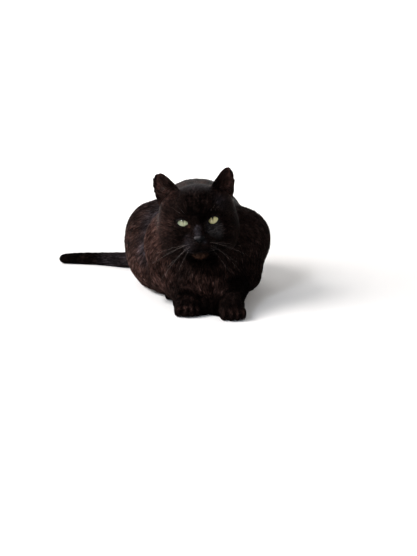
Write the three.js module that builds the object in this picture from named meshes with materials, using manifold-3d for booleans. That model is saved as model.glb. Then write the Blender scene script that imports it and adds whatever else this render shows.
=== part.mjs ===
// A domestic short-haired cat at rest in a low crouch: forepaws set forward, hind feet folded under
// the haunches, head low and turned a little to its right, tail laid out to its right on the floor.
//
// Millimetres. +X is the cat's left, +Y its rear, +Z up. The origin is on the floor under the belly.
//
// The flesh and coat are one smooth field, distance-like and negative inside, blended from eggs and
// tapered limbs. Each region of it is skinned with a net as fine as its shape needs, and the nets are
// parted into the named nodes by cutters that leave a thin gap.
import * as THREE from "three";
import { mergeVertices } from "three/addons/utils/BufferGeometryUtils.js";
import Module from "manifold-3d";

const wasm = await Module();
wasm.setup();

// ---------------------------------------------------------------- driving dimensions
const GAP = 0.3; // between nodes that meet
const SLIVER = 0.12; // edges shorter than this are closed up

const BACK_HEIGHT = 156; // floor to the top of the back
const CHEST_FRONT = -136; // foremost point of the chest
const RUMP_END = 146; // rearmost point of the rump
const HAUNCH_THICKNESS = 81; // one haunch, from side to side
const SHOULDER_THICKNESS = 78; // one shoulder, from side to side

const EYE_HEIGHT = 119.5; // floor to the line through the eyes
const EYE_SPACING = 40; // between the middles of the two eye openings
const HEAD_WIDTH = 109; // across the cheeks, coat included
const EAR_SPAN = 93; // between the tips of the ears
const EYEBALL_RADIUS = 10.5;
const LID_THICKNESS = 1.5;

const PAW_WIDTH = 34.5;
const FOOT_WIDTH = 29;
const TAIL_ROOT_RADIUS = 17;
const TAIL_TIP_RADIUS = 7.8;

const HEAD_AT = new THREE.Vector3(-15.4, -120.2, EYE_HEIGHT); // midway between the eyes
const HEAD_TURN = { yaw: -7, pitch: -13, roll: -5 }; // degrees, about Z, X and Y

// Net steps: the edge of the cubes that each region is skinned with.
const TRUNK_STEP = 12;
const LEG_STEP = 8.6;
const HEAD_STEP = 5.2;
const PAW_STEP = 5.5;
const HIND_FOOT_STEP = 10;
const TAIL_STEP = 7;

// The two sides, with what the pose sets differently on each: it leans a little on its left haunch,
// its left forepaw is further forward, its left flank dips less, and its right ear is turned further
// out.
const SIDES = [
  {
    name: "left",
    sign: 1,
    pawX: 23.5,
    pawFront: -188,
    shoulder: [54, -47, 79],
    haunchX: 56.5,
    haunchHeight: 107,
    thighX: 56.5,
    flankX: 94,
    earOut: 1,
  },
  {
    name: "right",
    sign: -1,
    pawX: -32.5,
    pawFront: -163,
    shoulder: [-42, -56, 80],
    haunchX: 61.5,
    haunchHeight: 117,
    thighX: 57,
    flankX: 86,
    earOut: 3.5,
  },
];

// ---------------------------------------------------------------- fields
// An egg: an ellipsoid by its middle and radii.
function egg([cx, cy, cz], [rx, ry, rz]) {
  return (x, y, z) => {
    const u = (x - cx) / rx;
    const v = (y - cy) / ry;
    const w = (z - cz) / rz;
    const near = Math.hypot(u, v, w);
    const steep = Math.hypot(u / rx, v / ry, w / rz);
    return steep > 0 ? (near * (near - 1)) / steep : -Math.min(rx, ry, rz);
  };
}

// A limb: a tapered bar with round ends, of radius ra at a and rb at b.
function limb(a, ra, b, rb) {
  const along = b.map((v, i) => v - a[i]);
  const lengthSq = along.reduce((sum, v) => sum + v * v, 0);
  return (x, y, z) => {
    const px = x - a[0];
    const py = y - a[1];
    const pz = z - a[2];
    const t = THREE.MathUtils.clamp(
      (px * along[0] + py * along[1] + pz * along[2]) / lengthSq,
      0,
      1,
    );
    const away = Math.hypot(px - along[0] * t, py - along[1] * t, pz - along[2] * t);
    return away - THREE.MathUtils.lerp(ra, rb, t);
  };
}

// Shapes joined with a fillet about as wide as `soft`.
function blend(soft, ...shapes) {
  return (x, y, z) =>
    shapes.reduce((least, shape) => {
      const d = shape(x, y, z);
      const h = Math.max(soft - Math.abs(least - d), 0) / soft;
      return Math.min(least, d) - h * h * soft * 0.25;
    }, 1e3);
}

// `shape` with `hollow` taken out, and the rim of the hollow rounded.
function carve(soft, shape, hollow) {
  return (x, y, z) => {
    const a = shape(x, y, z);
    const b = -hollow(x, y, z);
    const h = Math.max(soft - Math.abs(a - b), 0) / soft;
    return Math.max(a, b) + h * h * soft * 0.25;
  };
}

// The same shape on both sides of the middle plane.
const mirrored = (shape) => (x, y, z) => shape(Math.abs(x), y, z);

// ---------------------------------------------------------------- head
const rad = THREE.MathUtils.degToRad;
const headFrame = new THREE.Matrix4()
  .makeRotationZ(rad(HEAD_TURN.yaw))
  .multiply(new THREE.Matrix4().makeRotationX(rad(HEAD_TURN.pitch)))
  .multiply(new THREE.Matrix4().makeRotationY(rad(HEAD_TURN.roll)))
  .setPosition(HEAD_AT);
const intoHead = headFrame.clone().invert();

// A field that was written in the head's own frame, read in the cat's frame.
function onHead(shape) {
  const e = intoHead.elements;
  return (x, y, z) =>
    shape(
      e[0] * x + e[4] * y + e[8] * z + e[12],
      e[1] * x + e[5] * y + e[9] * z + e[13],
      e[2] * x + e[6] * y + e[10] * z + e[14],
    );
}

// In the head's frame -Y is forward, and the origin is midway between the eye openings.
const halfHead = HEAD_WIDTH / 2;
const eyeX = EYE_SPACING / 2;
const eyeballAt = [eyeX - 0.6, EYEBALL_RADIUS - 1.2, 0.8];

const skull = blend(
  9,
  egg([0, 34, 9], [halfHead - 10, 41, 42]), // cranium
  egg([0, 14, 19], [27, 18, 21]), // forehead
  mirrored(egg([halfHead - 24, 34, 15], [20, 24, 24])), // temples, out to the roots of the ears
  mirrored(egg([halfHead - 21, 30, -8], [21, 26, 25])), // cheeks
  mirrored(egg([halfHead - 28, 22, -27], [21, 23, 18])), // jowls
);
const muzzle = blend(
  7,
  limb([0, 4, 5], 10, [0, -15.5, -19.5], 8.5), // bridge of the nose
  egg([0, -1, -28.5], [23, 19, 15]), // root of the muzzle
  egg([0, -18, -25.5], [8.5, 9, 7]), // tip
  mirrored(egg([9.5, -13, -33], [11.5, 13, 8.5])), // whisker pads
  egg([0, -8.5, -43], [11, 12, 8]), // chin
  egg([0, 10, -38.5], [22, 22, 12]), // lower jaw
);
const brows = mirrored(egg([eyeX + 2, 9, 8], [11, 8, 5]));
const eyeHollows = mirrored(egg([eyeX - 6.5, -11, -6], [6.5, 8, 9]));
const face = onHead(carve(6, blend(10, skull, muzzle, brows), eyeHollows));

// ---------------------------------------------------------------- trunk, legs and tail
const ELBOW_Y = -72;
const halfHaunch = HAUNCH_THICKNESS / 2;
const halfShoulder = SHOULDER_THICKNESS / 2;

const trunk = blend(
  16,
  egg([0, -34, 78], [58, 72, 62]), // rib cage
  egg([1.5, 22, BACK_HEIGHT - 71.5], [64.5, 92, 68.5]), // back and flanks
  egg([0, 22, 53.5], [74, 98, 57]), // belly
  egg([0, RUMP_END - 58, 68], [64, 56, 62]), // rump
  egg([-3, CHEST_FRONT + 41, 44], [40, 37, 45]), // breast
  egg([-2, CHEST_FRONT + 11, 8], [21, 30, 15]), // brisket
);
const neck = limb([0, -24, 104], 38, [-12, -72, 110], 36);
const haunches = SIDES.map(({ sign, haunchX, haunchHeight }) =>
  egg([sign * haunchX, 48, haunchHeight - 57], [halfHaunch, 62, 57]),
);
const shoulders = SIDES.map(({ shoulder }) => egg(shoulder, [halfShoulder, 41, 44]));
const knees = SIDES.map(({ sign, thighX }) => egg([sign * (thighX + 5), -16, 37], [22, 36, 32]));
const thighBottoms = SIDES.map(({ sign, thighX }) => egg([sign * thighX, 32, 30], [32, 52, 31]));
const bladeTops = mirrored(egg([22, -38, 126], [16, 34, 18]));
const elbowPoints = mirrored(egg([57, ELBOW_Y + 8, 30], [15, 17, 15]));

// The dip in each side, ahead of the haunch and down behind the elbow.
function flankDip({ sign, flankX }) {
  const top = [sign * flankX, -4, 122];
  const middle = [sign * (flankX + 4), -33, 50];
  const bottom = [sign * (flankX - 1), -46, 16];
  return blend(8, limb(top, 13, middle, 16), limb(middle, 16, bottom, 14));
}

// A foreleg from the shoulder down to the wrist.
function foreleg({ sign, pawX, pawFront }) {
  const elbow = [sign * 52, ELBOW_Y, 36];
  return blend(
    12,
    limb([sign * 52, ELBOW_Y - 6, 70], 25, elbow, 19),
    limb(elbow, 17.5, [pawX + sign, pawFront + 35, 18], 14),
  );
}

// A paw's pad and back. Its toes are joined on later, finer than the net.
const paw = (x, front, width) =>
  egg([x, front + width * 0.72, width * 0.31], [width * 0.43, width * 0.55, width * 0.38]);

const HIND_TOE_X = 39;
const HIND_TOE_FRONT = -70;
const heel = [64, 88, 13];

function hindFoot(sign) {
  const toeEnd = [sign * HIND_TOE_X, HIND_TOE_FRONT + 20, 10];
  return blend(
    8,
    limb([sign * heel[0], heel[1], heel[2]], 14, toeEnd, 12),
    paw(sign * HIND_TOE_X, HIND_TOE_FRONT, FOOT_WIDTH),
  );
}

// The tail lies on the floor, so its height is its own radius once it is down.
const TAIL_LENGTHS = 16;
const tailPath = new THREE.CatmullRomCurve3([
  new THREE.Vector3(2, 112, 50),
  new THREE.Vector3(-14, 140, 33),
  new THREE.Vector3(-50, 149, 19),
  new THREE.Vector3(-88, 151, 12.3),
  new THREE.Vector3(-120, 172, 9),
  new THREE.Vector3(-154, 186, 8),
  new THREE.Vector3(-188, 194, 7.3),
]);
const tailRadius = (t) => THREE.MathUtils.lerp(TAIL_ROOT_RADIUS, TAIL_TIP_RADIUS, Math.pow(t, 0.75));

const tail = blend(
  3,
  ...Array.from({ length: TAIL_LENGTHS }, (_, i) => {
    const [from, to] = [i / TAIL_LENGTHS, (i + 1) / TAIL_LENGTHS];
    return limb(
      tailPath.getPointAt(from).toArray(),
      tailRadius(from),
      tailPath.getPointAt(to).toArray(),
      tailRadius(to),
    );
  }),
);

const body = carve(
  14,
  blend(
    18,
    blend(18, trunk, neck, ...shoulders, ...haunches, bladeTops),
    ...knees,
    ...thighBottoms,
    ...SIDES.map(foreleg),
    elbowPoints,
  ),
  blend(8, ...SIDES.map(flankDip)),
);
const feet = blend(
  3,
  ...SIDES.map(({ pawX, pawFront }) => paw(pawX, pawFront, PAW_WIDTH)),
  ...SIDES.map(({ sign }) => hindFoot(sign)),
);
const flesh = blend(9, blend(12, blend(10, body, tail), feet), face);

// ---------------------------------------------------------------- nets over fields
// Skins `field` inside the box from low to high with a surface net: one vertex in each cube that the
// surface crosses, drawn onto the surface, and one quad round each cube edge that it crosses.
function net(field, low, high, step) {
  const size = [0, 1, 2].map((i) => Math.ceil((high[i] - low[i]) / step) + 1);
  const place = (i, axis) => low[axis] + i * step;
  const index = (i, j, k) => i + size[0] * (j + size[1] * k);
  const inBox = (x, y, z) =>
    Math.max(low[0] - x, x - high[0], low[1] - y, y - high[1], low[2] - z, z - high[2]);
  const boxed = (x, y, z) => Math.max(field(x, y, z), inBox(x, y, z) + step * 1.2);
  const values = new Float32Array(size[0] * size[1] * size[2]);
  for (let k = 0; k < size[2]; k++)
    for (let j = 0; j < size[1]; j++)
      for (let i = 0; i < size[0]; i++)
        values[index(i, j, k)] = boxed(place(i, 0), place(j, 1), place(k, 2));

  const positions = [];
  const vertexOf = new Map();
  for (let k = 0; k < size[2] - 1; k++)
    for (let j = 0; j < size[1] - 1; j++)
      for (let i = 0; i < size[0] - 1; i++) {
        const middle = crossingMiddle(values, index, i, j, k);
        if (!middle) continue;
        const point = middle.map((v, axis) => place([i, j, k][axis] + v, axis));
        vertexOf.set(index(i, j, k), positions.length / 3);
        positions.push(...ontoSurface(boxed, point, step));
      }

  const triangles = [];
  const corner = (n) => positions.slice(3 * n, 3 * n + 3);
  const far = (m, n) => Math.hypot(...corner(m).map((v, i) => v - corner(n)[i]));
  const quad = (a, b, c, d) => {
    if (far(a, c) < far(b, d)) triangles.push(a, b, c, a, c, d);
    else triangles.push(a, b, d, b, c, d);
  };
  const unit = [[1, 0, 0], [0, 1, 0], [0, 0, 1]];
  for (let k = 1; k < size[2] - 1; k++)
    for (let j = 1; j < size[1] - 1; j++)
      for (let i = 1; i < size[0] - 1; i++)
        for (let axis = 0; axis < 3; axis++) {
          const inside = values[index(i, j, k)] < 0;
          const [du, dv, dw] = [unit[axis], unit[(axis + 1) % 3], unit[(axis + 2) % 3]];
          if (inside === values[index(i + du[0], j + du[1], k + du[2])] < 0) continue;
          const around = [[0, 0], [1, 0], [1, 1], [0, 1]].map(([v, w]) =>
            vertexOf.get(
              index(i - v * dv[0] - w * dw[0], j - v * dv[1] - w * dw[1], k - v * dv[2] - w * dw[2]),
            ),
          );
          quad(...(inside ? around : around.reverse()));
        }
  return new THREE.BufferGeometry()
    .setAttribute("position", new THREE.BufferAttribute(new Float32Array(positions), 3))
    .setIndex(triangles);
}

// The mean of the points where the surface crosses a cube's edges, in cube units, or null.
function crossingMiddle(values, index, i, j, k) {
  const sum = [0, 0, 0];
  let count = 0;
  for (let axis = 0; axis < 3; axis++)
    for (let u = 0; u < 2; u++)
      for (let v = 0; v < 2; v++) {
        const a = [0, 0, 0];
        a[(axis + 1) % 3] = u;
        a[(axis + 2) % 3] = v;
        const b = [...a];
        b[axis] = 1;
        const fa = values[index(i + a[0], j + a[1], k + a[2])];
        const fb = values[index(i + b[0], j + b[1], k + b[2])];
        if (fa < 0 === fb < 0) continue;
        a[axis] = fa / (fa - fb);
        a.forEach((value, n) => (sum[n] += value));
        count++;
      }
  return count ? sum.map((v) => v / count) : null;
}

// Moves a point down or up the field's slope to where the field is nought, within its own cube.
function ontoSurface(field, start, step) {
  const d = step * 0.05;
  let p = [...start];
  for (let pass = 0; pass < 3; pass++) {
    const [x, y, z] = p;
    const value = field(x, y, z);
    const slope = [
      (field(x + d, y, z) - field(x - d, y, z)) / (2 * d),
      (field(x, y + d, z) - field(x, y - d, z)) / (2 * d),
      (field(x, y, z + d) - field(x, y, z - d)) / (2 * d),
    ];
    const steep = slope.reduce((sum, s) => sum + s * s, 0);
    if (steep < 1e-6) break;
    p = p.map((v, i) => v - (slope[i] * value) / steep);
  }
  return p.map((v, i) => THREE.MathUtils.clamp(v, start[i] - step * 0.45, start[i] + step * 0.45));
}

// ---------------------------------------------------------------- solids
// A closed geometry as a manifold-3d solid.
function solid(geometry) {
  const bare = geometry.clone();
  bare.deleteAttribute("normal");
  bare.deleteAttribute("uv");
  const merged = mergeVertices(bare, 1e-4);
  return new wasm.Manifold(
    new wasm.Mesh({
      numProp: 3,
      vertProperties: merged.attributes.position.array,
      triVerts: new Uint32Array(merged.index.array),
    }),
  );
}

// A solid's largest closed body, with the slivers that cutting leaves closed up.
function largest(made) {
  const body = made.decompose().reduce((most, part) => (part.volume() > most.volume() ? part : most));
  const { vertProperties: points, triVerts: corners } = body.getMesh();
  const point = (i) => new THREE.Vector3().fromArray(points, 3 * i);
  const into = Array.from({ length: points.length / 3 }, (_, i) => i);
  const kept = (i) => (into[i] === i ? i : kept(into[i]));
  for (let i = 0; i < corners.length; i++) {
    const next = i % 3 === 2 ? i - 2 : i + 1;
    const [a, b] = [kept(corners[i]), kept(corners[next])];
    if (a !== b && point(a).distanceTo(point(b)) < SLIVER) into[Math.max(a, b)] = Math.min(a, b);
  }
  const triVerts = corners.map((i) => kept(i));
  const closed = new wasm.Manifold(new wasm.Mesh({ numProp: 3, vertProperties: points, triVerts }));
  return closed.decompose().reduce((most, part) => (part.volume() > most.volume() ? part : most));
}

// A profile of [u, v] points with each edge moved outwards by `by`.
function grown(profile, by) {
  const area = THREE.ShapeUtils.area(profile.map(([u, v]) => new THREE.Vector2(u, v)));
  const ring = area < 0 ? [...profile].reverse() : profile;
  const count = ring.length;
  return ring.map(([u, v], i) => {
    const [pu, pv] = ring[(i + count - 1) % count];
    const [nu, nv] = ring[(i + 1) % count];
    const before = new THREE.Vector2(v - pv, pu - u).normalize();
    const after = new THREE.Vector2(nv - v, u - nu).normalize();
    const lean = before.clone().add(after);
    lean.multiplyScalar((2 * by) / lean.lengthSq());
    return [u + lean.x, v + lean.y];
  });
}

// A prism over `profile`, from one height to another.
function prism(profile, from, to) {
  const shape = new THREE.Shape(profile.map(([u, v]) => new THREE.Vector2(u, v)));
  return new THREE.ExtrudeGeometry(shape, { depth: to - from, bevelEnabled: false, steps: 1 })
    .translate(0, 0, from);
}

// Cutters. Each is {inner, outer}: the inner takes a node, and the outer, GAP wider, clears the rest.
function sideCutter(profile, fromX, toX, frame = new THREE.Matrix4()) {
  const [near, away] = [Math.min(fromX, toX), Math.max(fromX, toX)];
  const make = (by) =>
    solid(
      prism(grown(profile, by), near - by, away + by)
        .applyMatrix4(new THREE.Matrix4().makeBasis(
          new THREE.Vector3(0, 1, 0),
          new THREE.Vector3(0, 0, 1),
          new THREE.Vector3(1, 0, 0),
        ))
        .applyMatrix4(frame),
    );
  return { inner: make(0), outer: make(GAP) };
}

function planCutter(profile, fromZ, toZ) {
  const make = (by) => solid(prism(grown(profile, by), fromZ - by, toZ + by));
  return { inner: make(0), outer: make(GAP) };
}

const rectangle = (u0, v0, u1, v1) => [[u0, v0], [u1, v0], [u1, v1], [u0, v1]];

const nodes = new Map(); // name: { solid, look }

// Takes the node `name` out of `rest` with a cutter, and returns what is left.
function take(name, rest, cutter, look) {
  nodes.set(name, { solid: largest(rest.intersect(cutter.inner)), look });
  return rest.subtract(cutter.outer);
}

const COAT = { color: 0x1c1513, roughness: 0.75, metalness: 0 };
const EAR_SKIN = { color: 0x2a1d1b, roughness: 0.7, metalness: 0 };
const NOSE_LEATHER = { color: 0x141112, roughness: 0.4, metalness: 0 };
const EYE_GREEN = { color: 0xa9b48a, roughness: 0.08, metalness: 0 };

const FLOOR = [[0, 0, 1], 0]; // everything is trimmed flat at the floor
const WIDE = 150; // past the cat on either side

// ---------------------------------------------------------------- the head's nodes
// Side profiles are [y, z], anticlockwise. This one follows the jaw and the nape.
const headProfile = [[-60, -54], [8, -54], [36, -34], [48, -6], [54, 20], [58, 60], [-60, 60]];
const headCutter = sideCutter(headProfile, -56, 56, headFrame);
const headBox = new THREE.Box3(
  new THREE.Vector3(-72, -50, -62),
  new THREE.Vector3(72, 70, 56),
).applyMatrix4(headFrame);
const headNet = solid(net(flesh, headBox.min.toArray(), headBox.max.toArray(), HEAD_STEP));

const EYEBALL_RINGS = { across: 14, down: 10 };
const ball = (radius, at) =>
  solid(
    new THREE.SphereGeometry(radius, EYEBALL_RINGS.across, EYEBALL_RINGS.down)
      .rotateX(Math.PI / 2)
      .translate(...at)
      .applyMatrix4(headFrame),
  );

// The opening between the lids, seen from the front: flatter above than below.
const LID_OPENING = { width: 14.4, above: 4.1, below: 5, slant: 0.17 };
function lidOpening(sign) {
  const { width, above, below, slant } = LID_OPENING;
  const shape = new THREE.Shape();
  shape.moveTo(-width / 2, -slant * width / 2);
  shape.bezierCurveTo(-width / 4, above * 1.25, width / 4, above * 1.35, width / 2, slant * width / 2);
  shape.bezierCurveTo(width / 3, -below * 1.3, -width / 3, -below * 1.4, -width / 2, -slant * width / 2);
  const outline = shape.getPoints(7).map((p) => new THREE.Vector2(sign * p.x, p.y));
  return solid(
    new THREE.ExtrudeGeometry(new THREE.Shape(outline), { depth: 22, bevelEnabled: false })
      .rotateX(Math.PI / 2)
      .translate(sign * eyeX, 2, 0)
      .applyMatrix4(headFrame),
  );
}

let head = headNet.intersect(headCutter.inner);
for (const { name, sign } of SIDES) {
  const at = [sign * eyeballAt[0], eyeballAt[1], eyeballAt[2]];
  const opening = lidOpening(sign);
  head = head
    .add(ball(EYEBALL_RADIUS + LID_THICKNESS, at))
    .subtract(ball(EYEBALL_RADIUS + GAP, at))
    .subtract(opening);
  nodes.set("eye_" + name, { solid: ball(EYEBALL_RADIUS, at), look: EYE_GREEN });
}

// Nose leather: a rounded wedge on the tip of the muzzle, with a nostril to each side.
const NOSE = { width: 14, height: 9.5, depth: 9, at: [0, -26.8, -26] };
function noseWedge(by) {
  const w = NOSE.width / 2 + by;
  const h = NOSE.height / 2 + by;
  const shape = new THREE.Shape();
  shape.moveTo(0, -h);
  shape.bezierCurveTo(w * 0.5, -h * 0.9, w * 0.9, -h * 0.1, w, h * 0.35);
  shape.bezierCurveTo(w * 1.02, h * 0.95, w * 0.5, h, 0, h * 0.85);
  shape.bezierCurveTo(-w * 0.5, h, -w * 1.02, h * 0.95, -w, h * 0.35);
  shape.bezierCurveTo(-w * 0.9, -h * 0.1, -w * 0.5, -h * 0.9, 0, -h);
  const bevel = { bevelThickness: 2, bevelSize: 2, bevelOffset: -2, bevelSegments: 2 };
  return solid(
    new THREE.ExtrudeGeometry(shape, { depth: NOSE.depth - 2 + by, curveSegments: 4, ...bevel })
      .rotateX(Math.PI / 2)
      .rotateX(rad(-14))
      .translate(NOSE.at[0], NOSE.at[1] + NOSE.depth - 2 + by, NOSE.at[2])
      .applyMatrix4(headFrame),
  );
}
let nose = noseWedge(0);
for (const sign of [1, -1])
  nose = nose.subtract(
    solid(
      new THREE.SphereGeometry(1, 8, 6)
        .scale(2.1, 2.6, 1.3)
        .rotateY(sign * 0.5)
        .translate(sign * 3.7, NOSE.at[1] - 0.6, NOSE.at[2] - 0.6)
        .applyMatrix4(headFrame),
    ),
  );
nodes.set("nose", { solid: largest(nose), look: NOSE_LEATHER });
head = head.subtract(noseWedge(GAP));

// The mouth: a groove that drops from the nose and runs back under each whisker pad.
const MOUTH = { radius: 0.8, middle: -38.5, dip: 2, dipAt: 9, corner: 20, rise: 1.5 };
function groove(points) {
  const section = new THREE.Shape().absarc(0, 0, MOUTH.radius, 0, 2 * Math.PI);
  const path = new THREE.CatmullRomCurve3(points.map((p) => new THREE.Vector3(...p)));
  return solid(
    new THREE.ExtrudeGeometry(section, { steps: 10, curveSegments: 3, extrudePath: path })
      .applyMatrix4(headFrame),
  );
}

// The front of the face at (x, z) in the head's frame, found by stepping back from before the nose.
const surfaceY = (x, z) => {
  const [before, behind, step] = [-40, 30, 0.25];
  const fleshAt = (y) => flesh(...new THREE.Vector3(x, y, z).applyMatrix4(headFrame).toArray());
  let y = before;
  while (fleshAt(y) > 0 && y < behind) y += step;
  return y;
};
const mouthHeight = (x) => {
  const dip = MOUTH.dip * Math.sin((Math.PI / 2) * Math.min(x / MOUTH.dipAt, 1));
  const rise = MOUTH.rise * Math.max(x / MOUTH.dipAt - 1, 0);
  return MOUTH.middle - dip + rise;
};
const mouthLine = (sign) =>
  [0, 0.15, 0.35, 0.55, 0.8, 1].map((share) => {
    const x = share * MOUTH.corner;
    return [sign * x, surfaceY(sign * x, mouthHeight(x)), mouthHeight(x)];
  });
for (const sign of [1, -1]) head = head.subtract(groove(mouthLine(sign)));
const philtrum = [-31.5, -34.5, MOUTH.middle].map((z) => [0, surfaceY(0, z), z]);
head = head.subtract(groove(philtrum));

const jawProfile = [[-60, -60], [16, -60], [16, -42], [-60, -40.8]];
head = take("lower_jaw", head, sideCutter(jawProfile, -60, 60, headFrame), COAT);

// Ears: a thin cup each, between an inner and an outer edge that meet round the tip, with the hollow
// facing forwards and a little outwards. Edges are in the head's frame, for the left ear, and the
// outer one lies further out by what the ear is turned.
const EAR = { depth: 12, wall: 2.4, open: [0.55, -0.83, 0.1], rows: 8, columns: 8 };
const earTip = EAR_SPAN / 2;
const earInnerEdge = () => [
  [14, 20, 28],
  [20, 16, 42],
  [29.5, 17, 56],
  [earTip - 7, 20, 66.5],
  [earTip - 2, 21, 69],
];
const earOuterEdge = (out) => [
  [46, 47, 6],
  [49.5 + out / 2, 42, 26],
  [52.5 + out, 34, 46],
  [earTip + 5.5 + out, 24, 61.5],
  [earTip + 2 + out / 2, 21.5, 68.5],
];
function earCup({ sign, earOut }) {
  const edge = (points) =>
    new THREE.CatmullRomCurve3(points.map(([x, y, z]) => new THREE.Vector3(sign * x, y, z)));
  const inner = edge(earInnerEdge());
  const outer = edge(earOuterEdge(earOut));
  const open = new THREE.Vector3(sign * EAR.open[0], EAR.open[1], EAR.open[2]).normalize();
  const faces = [[], []];
  for (let i = 0; i <= EAR.rows; i++) {
    const t = i / EAR.rows;
    const depth = EAR.depth * Math.pow(1 - t, 0.8);
    for (let j = 0; j <= EAR.columns; j++) {
      const s = j / EAR.columns;
      const hollow = Math.sin(Math.PI * s);
      const across = sign > 0 ? s : 1 - s;
      const at = inner.getPoint(t).lerp(outer.getPoint(t), across);
      at.addScaledVector(open, -depth * hollow);
      const wall = EAR.wall * (0.5 + 0.5 * hollow);
      faces[0].push(at.clone());
      faces[1].push(at.clone().addScaledVector(open, -wall));
    }
  }
  return cupGeometry(faces, EAR.rows, EAR.columns);
}

// Joins an inner and an outer face of the same grid into one closed shell.
function cupGeometry([inner, outer], rows, columns) {
  const across = columns + 1;
  const half = inner.length;
  const triangles = [];
  const quad = (a, b, c, d) => triangles.push(a, b, c, a, c, d);
  for (let i = 0; i < rows; i++)
    for (let j = 0; j < columns; j++) {
      const a = i * across + j;
      quad(a, a + 1, a + across + 1, a + across);
      quad(half + a, half + a + across, half + a + across + 1, half + a + 1);
    }
  for (let j = 0; j < columns; j++) {
    const top = rows * across + j;
    quad(j + 1, j, half + j, half + j + 1);
    quad(top, top + 1, half + top + 1, half + top);
  }
  for (let i = 0; i < rows; i++) {
    const a = i * across;
    const b = a + columns;
    quad(a, a + across, half + a + across, half + a);
    quad(b + across, b, half + b, half + b + across);
  }
  const geometry = new THREE.BufferGeometry().setFromPoints([...inner, ...outer]);
  geometry.setIndex(triangles);
  return geometry.applyMatrix4(headFrame);
}
const earClearance = solid(
  net((x, y, z) => flesh(x, y, z) - GAP - 0.25, headBox.min.toArray(), headBox.max.toArray(), HEAD_STEP),
);
for (const side of SIDES) {
  const cup = solid(earCup(side)).subtract(earClearance);
  nodes.set("ear_" + side.name, { solid: largest(cup), look: EAR_SKIN });
}
nodes.set("head", { solid: largest(head), look: COAT });

// ---------------------------------------------------------------- the body's nodes
const TRUNK_BOX = { low: [-128, -174, -26], high: [128, 162, 172] }; // two steps past the body
const bodyNet = solid(net(flesh, TRUNK_BOX.low, TRUNK_BOX.high, TRUNK_STEP));
let rest = bodyNet.trimByPlane(...FLOOR).subtract(headCutter.outer);

// Paws, legs and tail are skinned finer than the body that they are cut from.
const taken = [headCutter];
function takeFine(name, cutter, step, added = []) {
  const { min, max } = cutter.outer.boundingBox();
  const margin = 1.5 * step;
  const fine = net(flesh, min.map((v) => v - margin), max.map((v) => v + margin), step);
  const whole = added.reduce((made, more) => made.add(more), solid(fine)).trimByPlane(...FLOOR);
  const left = taken.reduce((made, { outer }) => made.subtract(outer), whole);
  take(name, left, cutter, COAT);
  rest = rest.subtract(cutter.outer);
  taken.push(cutter);
}

const WRIST_HEIGHT = 31;
const PAW_LENGTH = 34;

// Four toes side by side across the front of a paw, the middle two further forward.
function toes(x, front, width) {
  return [-1.5, -0.5, 0.5, 1.5].map((place) => {
    const back = Math.abs(place) === 1.5 ? width * 0.11 : 0;
    return solid(
      new THREE.SphereGeometry(1, 10, 7)
        .rotateX(Math.PI / 2)
        .scale(width * 0.15, width * 0.36, width * 0.26)
        .translate(x + place * width * 0.24, front + width * 0.36 + back, width * 0.225),
    );
  });
}

for (const { name, pawX, pawFront } of SIDES) {
  const wrist = pawFront + PAW_LENGTH;
  const half = PAW_WIDTH * 0.72;
  takeFine(
    "forepaw_" + name,
    planCutter(rectangle(pawX - half, pawFront - 12, pawX + half, wrist), -8, WRIST_HEIGHT),
    PAW_STEP,
    toes(pawX, pawFront, PAW_WIDTH),
  );
}
for (const { name, sign } of SIDES) {
  const [near, away] = [sign * 22, sign * 68];
  takeFine(
    "hind_foot_" + name,
    planCutter(
      [[near, -90], [sign * 60, -90], [away, -48], [sign * 86, 66], [sign * 44, 66], [near, -48]],
      -8,
      21,
    ),
    HIND_FOOT_STEP,
    toes(sign * HIND_TOE_X, HIND_TOE_FRONT, FOOT_WIDTH),
  );
}
const tailCuts = [
  ["tail_base", -36, -88],
  ["tail_middle", -88 - GAP, -140],
  ["tail_tip", -140 - GAP, -210],
];
for (const [name, from, to] of tailCuts)
  takeFine(name, planCutter(rectangle(to, 131, from, 226), -8, 46), TAIL_STEP);

for (const { name, sign } of SIDES) {
  takeFine(
    "foreleg_lower_" + name,
    planCutter(
      [[sign * 13, -160], [sign * 13, -112], [sign * 34, -50], [sign * 110, -50], [sign * 110, -160]],
      -8,
      46,
    ),
    LEG_STEP,
  );
}
for (const { name, sign } of SIDES) {
  const shoulder = [[-150, 46 + GAP], [-40, 46 + GAP], [-26, 84], [-40, 142], [-120, 142], [-134, 90]];
  rest = take("foreleg_upper_" + name, rest, sideCutter(shoulder, sign * 46, sign * WIDE), COAT);
  const thigh = [[-64, -20], [110, -20], [118, 60], [80, 108], [20, 122], [-22, 70], [-64, 60]];
  rest = take("thigh_" + name, rest, sideCutter(thigh, sign * 50, sign * WIDE), COAT);
}
const neckProfile = [[-160, 74], [-118, 74], [-84, 86], [-50, 120], [-40, 190], [-160, 190]];
rest = take("neck", rest, sideCutter(neckProfile, -WIDE, WIDE), COAT);
rest = take("chest", rest, sideCutter(rectangle(-160, -20, -30, 190), -WIDE, WIDE), COAT);
rest = take("rump", rest, sideCutter(rectangle(74, -20, 190, 190), -WIDE, WIDE), COAT);
nodes.set("belly", { solid: largest(rest), look: COAT });

// ---------------------------------------------------------------- meshes
const group = new THREE.Group();
for (const [name, { solid: made, look }] of nodes) {
  const { vertProperties, triVerts } = made.getMesh();
  const geometry = new THREE.BufferGeometry();
  geometry.setAttribute("position", new THREE.BufferAttribute(vertProperties, 3));
  geometry.setIndex(new THREE.BufferAttribute(triVerts, 1));
  geometry.computeVertexNormals();
  const node = new THREE.Mesh(geometry, new THREE.MeshStandardMaterial(look));
  node.name = name;
  group.add(node);
}

export default group;
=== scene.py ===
import math

import bmesh
import bpy
import numpy as np
from mathutils import Matrix, Vector
from mathutils.bvhtree import BVHTree


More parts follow.
